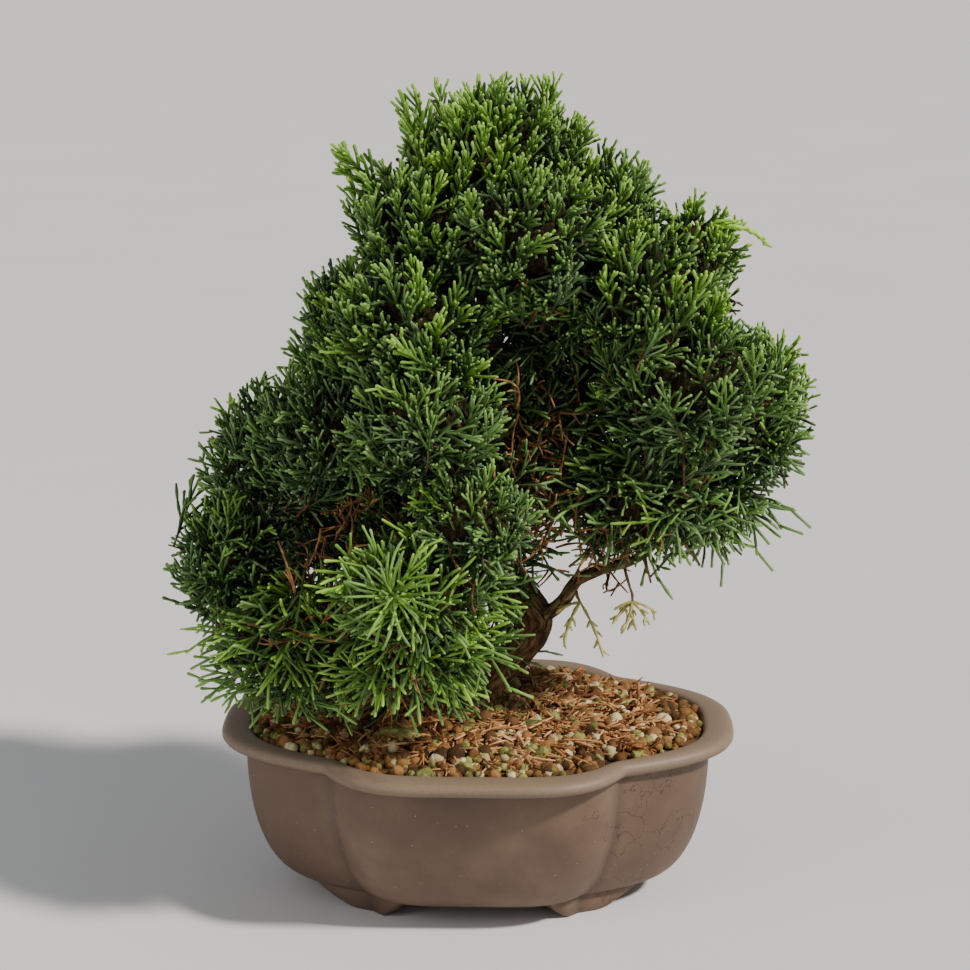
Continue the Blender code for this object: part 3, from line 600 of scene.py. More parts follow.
def build_foot(number, lobes_out, lobes_in, first):
    """A bracket foot along the base, both ways from the crease after lobe `first`."""
    sides = ((first, 1), ((first + 1) % 4, -1))
    stations = []
    for index, sign in sides:
        flat, reach = FOOT_FLAT[index % 2], FOOT_REACH[index % 2]
        away = [flat + (reach - flat) * i / 6 for i in range(6, 0, -1)] + [flat * i / 3 for i in range(3, 0, -1)]
        row = [(index, sign, a, max(0.0, (a - flat) / (reach - flat))) for a in away]
        stations.append(row)
    stations = stations[0] + [(first, 1, 0.0, 0.0)] + stations[1][::-1]
    rings = []
    for index, sign, away, share in stations:
        outer, inner = [on_line(lobes[index][::-sign], away) for lobes in (lobes_out, lobes_in)]
        low = 8.6 * share**1.25
        high = FOOT_HEIGHT + 3.5
        thick = inner - outer
        section = [
            (outer + thick * 0.02, high),
            (outer, (low + high) / 2),
            (outer + thick * 0.03, low + (high - low) * 0.12),
            (outer + thick * 0.14, low),
            (inner - thick * 0.14, low),
            (inner - thick * 0.03, low + (high - low) * 0.12),
            (inner, (low + high) / 2),
            (inner, high),
        ]
        rings.append([(p.x + POT_CENTRE.x, p.y + POT_CENTRE.y, z) for p, z in section])
    return extruded(f"pot_foot_{number}", rings)


def build_pot(finish):
    under = POT_HEIGHT - LIP_THICKNESS
    rings = []
    for step in np.concatenate([np.linspace(1.0, 0.93, 9), np.linspace(0.9, 0.0, 19)]):
        z = under - (under - FOOT_HEIGHT) * float(step)
        rings.append(pot_ring(*body_insets(z), z, CREASE_FILLET))
    # The lip swells out from under, rounds over, and lies nearly flat to the rim.
    inner = RIM_WIDTH
    notch_rim = NOTCH_SIDE[0] + WALL * 0.8
    lip = [
        (7.2, 4.3, -6.3), (3.0, 2.4, -5.9), (1.0, 0.9, -5.0), (0.1, 0.1, -3.7), (0.1, 0.1, -2.6),
        (0.7, 0.7, -1.4), (1.9, 1.9, -0.55), (3.8, 3.2, -0.1), (6.4, 4.8, 0.0),
        (inner - 2.4, notch_rim - 2.0, -0.1), (inner - 1.0, notch_rim - 0.9, -0.5), (inner - 0.2, notch_rim - 0.2, -1.3),
        (inner + 0.2, notch_rim + 0.2, -2.6),
    ]
    for n, (inset, notch, z) in enumerate(lip):
        rings.append(pot_ring(inset, notch, POT_HEIGHT + z, 1.2 if n < 4 else NOTCH_FILLET + 1.5 * (n > 5)))
    for z in (60.0, 50.0, 40.0, 30.0, 22.0, 17.0):
        inset, notch_inset = body_insets(z)
        rings.append(pot_ring(inset + WALL, notch_inset + WALL, z))
    inset, notch_inset = body_insets(FLOOR_TOP)
    rings.append(pot_ring(inset + WALL + 1.5, notch_inset + WALL + 1.5, FLOOR_TOP))
    pot = extruded("stoneware_pot", rings)
    lobes_out = plan_lobes(FOOT_INSET, FOOT_NOTCH_INSET)
    lobes_in = plan_lobes(FOOT_INSET + FOOT_THICKNESS, FOOT_NOTCH_INSET + FOOT_THICKNESS)
    for first in range(4):
        foot = build_foot(first + 1, lobes_out, lobes_in, first)
        apply_modifier(pot, "BOOLEAN", operation="UNION", object=foot)
        bpy.data.objects.remove(foot)
    for x in (-DRAIN_X, DRAIN_X):
        bpy.ops.object.select_all(action="DESELECT")
        where = ((POT_CENTRE.x + x) * MM, POT_CENTRE.y * MM, 10 * MM)
        bpy.ops.mesh.primitive_cylinder_add(vertices=48, radius=DRAIN_RADIUS * MM, depth=20 * MM, location=where)
        hole = bpy.context.object
        apply_modifier(pot, "BOOLEAN", operation="DIFFERENCE", object=hole)
        bpy.data.objects.remove(hole)
    smooth(pot, 50)
    return settle(pot, finish, ["pot"])


# Soil


def soil_share(x, y):
    """How far out a point is from the pot's centre: 0 there, 1 at the soil's edge."""
    angle = math.atan2(y, x)
    return math.hypot(x, y) / SOIL_REACH[int(round((angle + math.pi) / (2 * math.pi) * 359)) % 360]


def soil_height(x, y):
    share = soil_share(x, y)
    mound = SOIL_MOUND * max(0.0, 1 - share**1.7)
    ripple = 1.1 * noise.noise(Vector((x, y, 0)) / 11.0) + 0.5 * noise.noise(Vector((x, y, 9)) / 4.0)
    return SOIL_EDGE + mound + ripple * min(1.0, max(0.0, (1 - share) * 6))


def reach_by_angle(outline):
    """The outline's distance from the centre, for each degree from -180 to 179."""
    angles = np.array([math.atan2(p.y, p.x) for p in outline])
    reaches = np.array([p.length for p in outline])
    order = np.argsort(angles)
    return np.interp(np.radians(np.arange(-180, 180)), angles[order], reaches[order], period=2 * math.pi)


def build_soil_bed(finish):
    outline = plan(RIM_WIDTH + 0.5, NOTCH_SIDE[0] + WALL * 0.8 + 0.5)
    rings = [[(p.x * 0.97, p.y * 0.97, 30.0) for p in outline], [(p.x * 0.985, p.y * 0.985, 58.0) for p in outline]]
    for i in range(26):
        share = 1 - i / 26.5
        rings.append([(p.x * share, p.y * share, soil_height(p.x * share, p.y * share)) for p in outline])
    rings = [[(x + POT_CENTRE.x, y + POT_CENTRE.y, z) for x, y, z in ring] for ring in rings]
    bed = extruded("substrate_bed", rings)
    smooth(bed, 80)
    return settle(bed, finish, ["soil"])


def grain_shapes(rng):
    """A few rough pebbles of radius 1, each a cube that is divided and rounded."""
    shapes = []
    for _ in range(6):
        bpy.ops.object.select_all(action="DESELECT")
        bpy.ops.mesh.primitive_cube_add(size=1.3)
        pebble = bpy.context.object
        bpy.ops.object.mode_set(mode="EDIT")
        bpy.ops.mesh.select_all(action="SELECT")
        bpy.ops.mesh.subdivide(number_cuts=1)
        bpy.ops.transform.tosphere(value=0.75)
        bpy.ops.object.mode_set(mode="OBJECT")
        corners = np.array([v.co for v in pebble.data.vertices])
        corners *= 1 + rng.uniform(-0.13, 0.13, (len(corners), 1))
        corners *= rng.uniform(0.75, 1.15, 3)
        quads = np.array([list(face.vertices) for face in pebble.data.polygons])
        bpy.data.objects.remove(pebble)
        shapes.append((corners, quads))
    return shapes


def random_turns(rng, count):
    """Evenly spread rotations, as an array of matrices."""
    q = rng.normal(size=(count, 4))
    q /= np.linalg.norm(q, axis=1, keepdims=True)
    w, x, y, z = q.T
    rows = [
        [1 - 2 * (y * y + z * z), 2 * (x * y - z * w), 2 * (x * z + y * w)],
        [2 * (x * y + z * w), 1 - 2 * (x * x + z * z), 2 * (y * z - x * w)],
        [2 * (x * z - y * w), 2 * (y * z + x * w), 1 - 2 * (x * x + y * y)],
    ]
    return np.array(rows).transpose(2, 0, 1)


def scattered(shape, turns, places):
    """Copies of one shape, each turned (and scaled) and placed, as one set of arrays."""
    corners, quads = shape[:2]
    copies = np.einsum("nij,vj->nvi", turns, corners) + places[:, None, :]
    faces = quads[None, :, :] + (np.arange(len(places)) * len(corners))[:, None, None]
    return copies.reshape(-1, 3), faces.reshape(-1, 4)


def gathered(sets):
    """Several sets of arrays as one."""
    corners, faces, start = [], [], 0
    for points, quads in sets:
        corners.append(points)
        faces.append(quads + start)
        start += len(points)
    return np.concatenate(corners), np.concatenate(faces)


def spots_on_soil(rng, count, edge=0.985):
    spots = []
    while len(spots) < count:
        x, y = rng.uniform(-POT_LENGTH / 2, POT_LENGTH / 2), rng.uniform(-POT_WIDTH / 2, POT_WIDTH / 2)
        if soil_share(x, y) < edge and math.hypot(x + 2, y - 4) > 13:
            spots.append((x, y))
    return spots


def build_grains(finishes):
    rng = np.random.default_rng(SEED)
    shapes = grain_shapes(rng)
    for kind, share in GRAIN_SHARES.items():
        count = int(GRAIN_COUNT * share)
        sets = []
        for shape in shapes:
            number = count // len(shapes)
            radii = rng.gamma(9.0, 0.17, number) + 0.55
            if kind == "clod":
                radii *= 1.35
            spots = spots_on_soil(rng, number)
            height = [soil_height(x, y) + r * 0.35 + rng.uniform(-0.3, 1.1) for (x, y), r in zip(spots, radii)]
            places = np.array([(x + POT_CENTRE.x, y + POT_CENTRE.y, z) for (x, y), z in zip(spots, height)])
            turns = random_turns(rng, number) * radii[:, None, None]
            sets.append(scattered(shape, turns, places))
        grains = from_parts(f"{kind}_grains", *gathered(sets))
        settle(grains, finishes[kind])


# Foliage


def tube(path, radii, sides=4, flats=True):
    """Rings of corners along a path, closed at both ends, and how far along each is."""
    path = np.asarray(path, float)
    ways = np.gradient(path, axis=0)
    ways /= np.linalg.norm(ways, axis=1, keepdims=True) + 1e-9
    side = np.cross(ways[0], [0.31, 0.87, 0.38])
    side /= np.linalg.norm(side) + 1e-9
    corners = []
    for n, (point, way, radius) in enumerate(zip(path, ways, radii)):
        side = side - way * (side @ way)
        side /= np.linalg.norm(side) + 1e-9
        other = np.cross(way, side)
        wide, narrow = (1.14, 0.84) if flats and n % 2 else (0.84, 1.14)
        if not flats:
            wide = narrow = 1.0
        for k in range(sides):
            angle = 2 * math.pi * (k + 0.5 * (sides == 3)) / sides
            corners.append(point + radius * (wide * math.cos(angle) * side + narrow * math.sin(angle) * other))
    count = len(path)
    quads = []
    for ring in range(count - 1):
        for k in range(sides):
            a, b = ring * sides + k, ring * sides + (k + 1) % sides
            quads.append((a, b, b + sides, a + sides))
    last = (count - 1) * sides
    quads.append((3, 2, 1, 0))
    quads.append((last, last + 1, last + 2, last + 3))
    return np.array(corners), np.array(quads), np.repeat(np.linspace(0, 1, count), sides)


def turned_aside(rng, way, degrees, around):
    """A direction at an angle from `way`, at `around` radians about it."""
    side = np.cross(way, [0.2, 0.9, 0.37])
    side /= np.linalg.norm(side)
    other = np.cross(way, side)
    lean = math.radians(degrees)
    return math.cos(lean) * way + math.sin(lean) * (math.cos(around) * side + math.sin(around) * other)


def grow_spray(rng, kind):
    """A spray of forking shoots along +Z, as corners, faces, nearness to tip and tint."""
    length, forks, sub_forks, (least, most), (shortest, longest), lift, thick = SPRAYS[kind]
    shoots = []

    def grow(start, way, reach, depth, age, end_age):
        count = max(4, min(10, int(reach / SCALE_LEAF) + 2)) if kind != "stub" else 3
        up = np.array([0.0, 0.0, 1.0])
        bow = rng.normal(0, 0.16, 3)
        shares = np.append(np.linspace(0, 1 - 0.5 / reach, count - 1), 1.0)
        path = [np.array(start, float)]
        for before, share in zip(shares, shares[1:]):
            heading = way + (up * lift * 1.6 + bow) * share * (1.0 if depth else 0.4)
            heading /= np.linalg.norm(heading)
            path.append(path[-1] + heading * reach * (share - before))
        path = np.array(path)
        radii = np.full(count, thick * (0.95 if depth else 1.0))
        radii[1::2] *= 0.88
        radii[0] *= 0.8
        radii[-1] = thick * 0.45
        if depth == 0:
            radii[: count // 2] *= 0.8
        shoots.append((path, radii, age, end_age, rng.uniform(-0.09, 0.09)))
        number = forks if depth == 0 else int(sub_forks + rng.uniform())
        if depth > 1:
            return
        around = rng.uniform(0, 2 * math.pi)
        for k in range(number):
            along = 0.16 + 0.80 * (k + rng.uniform(0.2, 0.8)) / number if depth == 0 else rng.uniform(0.3, 0.75)
            at = along * (count - 1)
            low = min(int(at), count - 2)
            point = path[low] * (1 - at + low) + path[low + 1] * (at - low)
            heading = path[low + 1] - path[low]
            heading /= np.linalg.norm(heading)
            lean = least + (most - least) * (1 - along) * rng.uniform(0.6, 1.2)
            around += math.radians(137.5) + rng.normal(0, 0.25)
            fresh_way = turned_aside(rng, heading, lean, around)
            tip = rng.uniform(shortest, longest)
            if depth == 0:
                tip += (1 - along) * length * 0.36
                reach_age = 0.72 + 0.28 * along
            else:
                tip *= 0.7
                reach_age = min(1.0, end_age + 0.05)
            grow(point, fresh_way, tip, depth + 1, age + (end_age - age) * along * 0.8, reach_age)

    grow((0, 0, 0), np.array([0.0, 0.0, 1.0]), length, 0, 0.0, 0.96)
    corners, quads, ages, tints, start = [], [], [], [], 0
    for path, radii, first, last, tint in shoots:
        points, faces, along = tube(path, radii)
        corners.append(points)
        quads.append(faces + start)
        ages.append(first + (last - first) * along**1.6)
        tints.append(np.full(len(points), tint))
        start += len(points)
    return np.concatenate(corners), np.concatenate(quads), np.concatenate(ages), np.concatenate(tints)


def aimed(rng, ways, scales):
    """Turns that take +Z to each way, with a random spin, times a scale."""
    spin = rng.uniform(0, 2 * math.pi, len(ways))
    helper = rng.normal(size=(len(ways), 3))
    side = np.cross(ways, helper)
    side /= np.linalg.norm(side, axis=1, keepdims=True)
    other = np.cross(ways, side)
    first = side * np.cos(spin)[:, None] + other * np.sin(spin)[:, None]
    second = np.cross(ways, first)
    return np.stack([first, second, ways], axis=2) * scales[:, None, None]


def pad_surface(name):
    """The triangles of a CAD pad, in millimetres."""
    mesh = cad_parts[name].data
    mesh.calc_loop_triangles()
    points = np.array([v.co for v in mesh.vertices]) / MM
    faces = np.array([t.vertices[:] for t in mesh.loop_triangles])
    return points, faces


def spots_on_pad(rng, name, surfaces, trees, gap):
    """Spread-out points on the part of a pad that no neighbour presses on."""
    points, faces = surfaces[name]
    a, b, c = points[faces[:, 0]], points[faces[:, 1]], points[faces[:, 2]]
    cross = np.cross(b - a, c - a)
    area = np.linalg.norm(cross, axis=1) / 2
    tries = int(area.sum() / (gap * gap) * 9)
    pick = rng.choice(len(faces), tries, p=area / area.sum())
    u, v = rng.uniform(size=(2, tries))
    flip = u + v > 1
    u[flip], v[flip] = 1 - u[flip], 1 - v[flip]
    spots = a[pick] + (b - a)[pick] * u[:, None] + (c - a)[pick] * v[:, None]
    middle = points.mean(axis=0)
    kept, outward = [], []
    others = [tree for other, tree in trees.items() if other != name]
    for spot in spots:
        if kept and np.min(np.sum((np.array(kept) - spot) ** 2, axis=1)) < gap * gap:
            continue
        if any(tree.find_nearest(Vector(spot), 2.6)[0] is not None for tree in others):
            continue
        kept.append(spot)
        outward.append(spot - middle)
    outward = np.array(outward)
    outward /= np.linalg.norm(outward, axis=1, keepdims=True)
    return np.array(kept), outward


def spread_sprays(rng, kind, sprays, bases, ways, scales, freshness, shade=1.0):
    """Copies of a kind's sprays at `bases`, with the palette map of each. A `shade` below 1 lowers the shoots' place up
    the palette, towards its dark base colours: painted shade.
    """
    sets, palette = [], []
    pick = rng.integers(0, SPRAY_VARIANTS, len(bases))
    turns = aimed(rng, ways, scales)
    for variant, spray in enumerate(sprays[kind]):
        chosen = pick == variant
        if not chosen.any():
            continue
        sets.append(scattered(spray, turns[chosen], bases[chosen]))
        across = np.clip(freshness[chosen][:, None] + spray[3][None, :], 0.01, 0.99)
        up = np.broadcast_to(spray[2][None, :] * shade, across.shape)
        palette.append(np.stack([across, 0.01 + 0.98 * up], axis=2).reshape(-1, 2))
    return (*gathered(sets), np.concatenate(palette))


def build_foliage(finish, twig_finish, heart_finish):
    rng = np.random.default_rng(SEED)
    sprays = {kind: [grow_spray(rng, kind) for _ in range(SPRAY_VARIANTS)] for kind in SPRAYS}
    surfaces = {name: pad_surface(name) for name in PAD_GROWTH}
    trees = {
        name: BVHTree.FromPolygons([Vector(p) for p in points], faces.tolist())
        for name, (points, faces) in surfaces.items()
    }
    wood = wood_points()
    total = 0
    for name, (kind, gap, rise, fresh) in PAD_GROWTH.items():
        spots, outward = spots_on_pad(rng, name, surfaces, trees, gap * GAP_SHARE)
        lean = np.array([noise.noise_vector(Vector(spot) / 16.0) for spot in spots])
        clump = np.array([noise.noise(Vector(spot) / 9.0) for spot in spots])
        ways = outward * 0.85 + np.array([0.0, 0.0, rise * 1.5]) + lean * 1.15 + rng.normal(0, 0.15, outward.shape)
        ways /= np.linalg.norm(ways, axis=1, keepdims=True)
        reach = SPRAYS[kind][0]
        scales = rng.uniform(0.85, 1.18, len(spots))
        bases = spots - ways * (reach * scales + PAD_TUCK)[:, None] + outward * (clump * 9.0)[:, None]
        ends = bases + ways * (reach * scales)[:, None]
        clear = ends[:, 2] > 80.0
        ways, scales, bases, outward, clump = [a[clear] for a in (ways, scales, bases, outward, clump)]
        freshness = fresh + 0.2 * outward[:, 2] + 0.45 * clump + rng.normal(0, 0.12, len(bases))
        freshness = np.clip(freshness, 0.02, 0.98)
        corners, quads, palette = spread_sprays(rng, kind, sprays, bases, ways, scales, freshness)
        shoots = from_parts(name + "_shoots", corners, quads, palette)
        settle(shoots, finish, [name])
        total += len(quads) * 2
        total += build_inner_shoots(rng, name, surfaces[name], sprays, finish)
        build_heart(name, heart_finish)
        build_twigs(rng, name, surfaces[name][0].mean(axis=0), bases, wood, twig_finish)
    total += build_wood_shoots(rng, sprays, finish)
    total += build_fills(rng, sprays, finish)
    bases, tips = [np.array(ends) + POT_CENTRE for ends in zip(*TIP_SPRAYS)]
    lengths = np.linalg.norm(tips - bases, axis=1)
    ways, fresh = (tips - bases) / lengths[:, None], np.full(len(bases), 0.97)
    parts = spread_sprays(rng, "brush", sprays, bases, ways, lengths / SPRAYS["brush"][0], fresh)
    settle(from_parts("bright_tip_shoots", *parts), finish)
    print("foliage triangles", total)


def build_inner_shoots(rng, name, surface, sprays, finish):
    """Short shoots that fill a pad behind its outer sprays: older in tone, and darker still with painted shade."""
    points, faces = surface
    middle = points.mean(axis=0)
    inner = middle + (points - middle) * INNER_SHARE
    spots, outward = spots_on_pad(rng, name, {name: (inner, faces)}, {}, INNER_GAP)
    spots -= outward * rng.uniform(0, 6, (len(spots), 1))
    ways = outward + rng.normal(0, 0.6, outward.shape)
    ways /= np.linalg.norm(ways, axis=1, keepdims=True)
    clear = spots[:, 2] > 86.0
    spots, ways = spots[clear], ways[clear]
    room = np.linalg.norm(points - middle, axis=1).mean()
    scales = rng.uniform(0.85, 1.35, len(spots)) * min(1.0, room / 24)
    freshness = rng.uniform(0.05, 0.55, len(spots))
    # Painted shade: their palette is held to its lower half.
    corners, quads, palette = spread_sprays(rng, "stub", sprays, spots, ways, scales, freshness, 0.5)
    settle(from_parts(name + "_inner_shoots", corners, quads, palette), finish)
    return len(quads) * 2


def build_heart(name, finish):
    """The middle of a pad as a dark lump, partly the old twigs and litter that pack together there and partly painted
    shade.
    """
    heart = bpy.data.objects.new(name + "_heart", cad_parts[name].data.copy())
    bpy.context.scene.collection.objects.link(heart)
    apply_modifier(heart, "WELD", merge_threshold=1e-5)
    count = len(heart.data.vertices)
    places = np.zeros(count * 3)
    heart.data.vertices.foreach_get("co", places)
    places = places.reshape(-1, 3)
    middle = places.mean(axis=0)
    places = middle + (places - middle) * HEART_SHARE
    places[:, 2] = np.maximum(places[:, 2], 84 * MM)
    heart.data.vertices.foreach_set("co", places.ravel())
    apply_modifier(heart, "SUBSURF", levels=1, render_levels=1)
    for vertex in heart.data.vertices:
        point = vertex.co / MM
        bump = noise.noise(point / 5.0) * 2.6 + noise.noise(point / 1.9) * 1.2
        vertex.co += vertex.normal * bump * MM
    smooth(heart, 180)
    settle(heart, finish)


def build_wood_shoots(rng, sprays, finish):
    """Sparse shoots straight from the trunk and branches, inside the tree."""
    bases, ways = [], []
    for node, number in WOOD_SHOOTS.items():
        points, faces = pad_surface(node)
        a, b, c = points[faces[:, 0]], points[faces[:, 1]], points[faces[:, 2]]
        cross = np.cross(b - a, c - a)
        area = np.linalg.norm(cross, axis=1)
        high = (a[:, 2] > (140.0 if node == "trunk" else 95.0)) & (a[:, 2] < 290.0)
        high &= (a[:, 0] > -88.0) & (a[:, 0] < 64.0)
        pick = rng.choice(len(faces), number, p=area * high / (area * high).sum())
        bases.append((a + b + c)[pick] / 3)
        ways.append((cross / area[:, None])[pick])
    bases, ways = np.concatenate(bases), np.concatenate(ways)
    ways = ways + rng.normal(0, 0.45, ways.shape) + np.array([0.0, -0.25, 0.35])
    ways /= np.linalg.norm(ways, axis=1, keepdims=True)
    scales = rng.uniform(0.7, 1.15, len(bases))
    freshness = rng.uniform(0.1, 0.5, len(bases))
    # Painted shade: their palette is pulled a little towards the dark base colours.
    corners, quads, palette = spread_sprays(rng, "open", sprays, bases, ways, scales, freshness, 0.9)
    settle(from_parts("inner_wood_shoots", corners, quads, palette), finish)
    return len(quads) * 2


def build_fills(rng, sprays, finish):
    """Inner shoots in the dark places between the pads."""
    bases, ways = [], []
    for middle, radius, number in FILLS:
        way = rng.normal(size=(number, 3))
        way /= np.linalg.norm(way, axis=1, keepdims=True)
        bases.append(np.array(middle) + POT_CENTRE + way * radius * rng.uniform(0, 0.5, (number, 1)))
        ways.append(way)
    bases, ways = np.concatenate(bases), np.concatenate(ways)
    scales, freshness = rng.uniform(0.6, 0.8, len(bases)), rng.uniform(0.05, 0.35, len(bases))
    # Painted shade: their palette is pulled towards the dark base colours.
    corners, quads, palette = spread_sprays(rng, "loose", sprays, bases, ways, scales, freshness, 0.72)
    settle(from_parts("inner_filling_shoots", corners, quads, palette), finish)
    return len(quads) * 2


def build_bare_twigs(rng, finish):
    """Thin orange-brown twigs, each with a fork or two, in the gaps of the foliage."""
    sets = []
    for middle, radius, number in BARE_TWIGS:
        for _ in range(number):
            way = rng.normal(size=3) + np.array([0.0, -0.4, 0.3])
            way /= np.linalg.norm(way)
            start = np.array(middle) + POT_CENTRE + rng.normal(0, radius * 0.42, 3)
            path = bent_path(rng, start, start + way * rng.uniform(11, 24), 7, 0.2)
            sets.append(tube(path, np.linspace(0.62, 0.36, 7))[:2])
            for _ in range(2):
                begin = path[int(rng.integers(1, 6))]
                aside = turned_aside(rng, way, rng.uniform(30, 60), rng.uniform(0, 2 * math.pi))
                sets.append(tube(bent_path(rng, begin, begin + aside * rng.uniform(4, 9), 4), np.linspace(0.46, 0.3, 4))[:2])
    settle(from_parts("bare_inner_twigs", *gathered(sets)), finish)


def build_star(rng, finish):
    """The starburst of long shoots on the front tuft."""
    points, faces = pad_surface("foliage_front_tuft")
    tuft = BVHTree.FromPolygons([Vector(p) for p in points], faces.tolist())
    before = Vector((STAR_PLACE[0] + POT_CENTRE.x, -300.0, STAR_PLACE[1]))
    hit = tuft.ray_cast(before, Vector((0, 1, 0)))[0] or tuft.find_nearest(before)[0]
    middle = np.array(hit) + np.array([0.0, 3.0, 0.0])
    sets, palette = [], []
    # The long shoots of the burst lie around a pale tight middle.
    for k in range(STAR_SHOOTS):
        way = turned_aside(rng, np.array([-0.12, -0.93, 0.30]), 12 + 76 * math.sqrt((k + 0.5) / STAR_SHOOTS), k * 2.4)
        start = middle - way * rng.uniform(0, 3)
        end = middle + way * (rng.uniform(14, 24) if k > 8 else rng.uniform(5, 9)) - np.array([0, 0, 1.5])
        path = bent_path(rng, start, end, 9, 0.08)
        radii = np.full(9, 0.66)
        radii[1::2] *= 0.9
        radii[-1] = 0.35
        corners, quads, along = tube(path, radii)
        sets.append((corners, quads))
        palette.append(np.stack([0.9 - 0.6 * along, 0.99 - 0.16 * along], axis=1))
    star = from_parts("front_starburst_shoots", *gathered(sets), np.concatenate(palette))
    settle(star, finish)


def wood_points():
    """Points of the trunk and branches, to grow twigs from."""
    points = [
        np.array([v.co for v in node.data.vertices]) / MM
        for name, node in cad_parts.items()
        if name == "trunk" or name.startswith("branch_")
    ]
    points = np.concatenate(points)
    return points[points[:, 2] > 84]


def bent_path(rng, start, end, count, sag=0.12):
    """A path between two points that bows a little to one side."""
    share = np.linspace(0, 1, count)[:, None]
    bow = rng.normal(0, 1, 3) * np.linalg.norm(end - start) * sag
    return start * (1 - share) + end * share + bow * (share * (1 - share) * 2)


def build_twigs(rng, name, middle, bases, wood, finish):
    """Twigs from the nearest wood to a few forks in the pad, and on to each spray."""
    count = max(4, len(bases) // 8)
    forks = bases[rng.choice(len(bases), count, replace=False)]
    forks = middle + (forks - middle) * rng.uniform(0.45, 0.8, (count, 1))
    sets = []
    for fork in forks:
        root = wood[np.argmin(np.sum((wood - (fork + middle) / 2) ** 2, axis=1))]
        path = bent_path(rng, root, fork, 7)
        sets.append(tube(path, np.linspace(1.15, 0.7, 7), flats=False)[:2])
    for base in bases:
        fork = forks[np.argmin(np.sum((forks - base) ** 2, axis=1))]
        path = bent_path(rng, fork, base + (base - fork) * 0.08, 5)
        sets.append(tube(path, np.linspace(0.62, 0.46, 5), flats=False)[:2])
    twigs = from_parts(name + "_twigs", *gathered(sets))
    settle(twigs, finish)


# Trunk and branches


def roughened(name, node, finish, levels, depth, upright=False):
    """A CAD piece of wood with finer faces, furrowed bark and a map of its grain."""
    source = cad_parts[node].data.copy()
    wood = bpy.data.objects.new(name, source)
    bpy.context.scene.collection.objects.link(wood)
    apply_modifier(wood, "WELD", merge_threshold=1e-5)
    apply_modifier(wood, "SUBSURF", levels=levels, render_levels=levels)
    count = len(wood.data.vertices)
    places = np.zeros(count * 3)
    wood.data.vertices.foreach_get("co", places)
    places = places.reshape(-1, 3)
    normals = np.zeros(count * 3)
    wood.data.vertices.foreach_get("normal", normals)
    normals = normals.reshape(-1, 3)
    if upright:
        grain = places - trunk_line(places[:, 2])
        grain[:, 2] = places[:, 2] * 1.15
    else:
        low, high = places[np.argmin(places[:, 2])], places[np.argmax(places[:, 2])]
        axis = (high - low) / np.linalg.norm(high - low)
        side = np.cross(axis, [0.0, 0.0, 1.0])
        side /= np.linalg.norm(side)
        grain = (places - low) @ np.stack([side, np.cross(axis, side), axis], axis=1)
    for n in range(count):
        point = Vector(grain[n])
        stretched = Vector((point.x, point.y, point.z * 0.2)) / (2.6 * MM)
        ridge = 1 - abs(noise.noise(stretched)) * 2
        knot = noise.noise(point / (9 * MM))
        places[n] += normals[n] * depth * MM * (ridge * 0.6 + knot * 0.9 - 0.3)
    wood.data.vertices.foreach_set("co", places.ravel())
    layer = wood.data.attributes.new("along_grain", "FLOAT_VECTOR", "POINT")
    layer.data.foreach_set("vector", grain.astype(np.float32).ravel())
    wood.data.update()
    smooth(wood, 80)
    return settle(wood, finish, [node])


def trunk_line(heights):
    """The middle of the trunk at each height, from slices of its CAD solid."""
    points = np.array([v.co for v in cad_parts["trunk"].data.vertices])
    levels = np.linspace(points[:, 2].min(), points[:, 2].max(), 26)
    middles = []
    for level in levels:
        near = points[np.abs(points[:, 2] - level) < 6 * MM]
        middles.append(near.mean(axis=0) if len(near) else middles[-1])
    middles = np.array(middles)
    line = [np.interp(heights, levels, middles[:, k]) for k in range(2)]
    return np.stack([*line, np.zeros_like(heights)], axis=1)


def build_wood(finish):
    roughened("trunk_bark", "trunk", finish, 2, 0.9, upright=True)
    for node in sorted(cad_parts):
        if node.startswith("branch_"):
            roughened(node + "_bark", node, finish, 2, 0.35)


# Litter on the soil


def litter_shape(rng):
    """A fallen bit of juniper, brown and flat, along +X."""
    length = rng.uniform(8, 21)
    sets = []
    stem = bent_path(rng, np.zeros(3), np.array([length, 0, 0]), 5, 0.10)
    stem[:, 2] *= 0.3
    sets.append(tube(stem, np.array([0.5, 0.62, 0.55, 0.6, 0.3]) * 0.85)[:2])
    for k in range(int(rng.integers(0, 5))):
        along = rng.uniform(0.2, 0.8)
        start = stem[0] * (1 - along) + stem[-1] * along
        lean = rng.choice((-1, 1)) * rng.uniform(0.4, 0.9)
        reach = rng.uniform(2.5, 7)
        end = start + np.array([math.cos(lean), math.sin(lean), rng.uniform(-0.1, 0.25)]) * reach
        sets.append(tube(bent_path(rng, start, end, 4), np.array([0.5, 0.55, 0.5, 0.25]) * 0.85)[:2])
    corners, quads = gathered(sets)
    return corners, quads


def build_litter(finish):
    rng = np.random.default_rng(SEED + 1)
    shapes = [litter_shape(rng) for _ in range(14)]
    sets, palette = [], []
    for shape in shapes:
        number = LITTER_COUNT // len(shapes)
        spots = spots_on_soil(rng, number, 0.97 - np.ptp(shape[0][:, 0]) / 110)
        places = np.array(
            [(x + POT_CENTRE.x, y + POT_CENTRE.y, soil_height(x, y) + rng.uniform(1.0, 2.6)) for x, y in spots]
        )
        yaw, tilt, roll = rng.uniform(0, 2 * math.pi, number), rng.normal(0, 0.06, number), rng.uniform(0, 2 * math.pi, number)
        turns = np.array([np.array(Matrix.Rotation(a, 3, "Z") @ Matrix.Rotation(b, 3, "Y") @ Matrix.Rotation(c, 3, "X"))
                          for a, b, c in zip(yaw, tilt, roll)])
        sets.append(scattered(shape, turns, places))
        tone = np.repeat(rng.uniform(0.02, 0.98, number), len(shape[0]))
        palette.append(np.stack([tone, np.full(len(tone), 0.6)], axis=1))
    litter = from_parts("fallen_juniper_litter", *gathered(sets), np.concatenate(palette))
    settle(litter, finish)


# Hanging dry sprays and the long young shoot


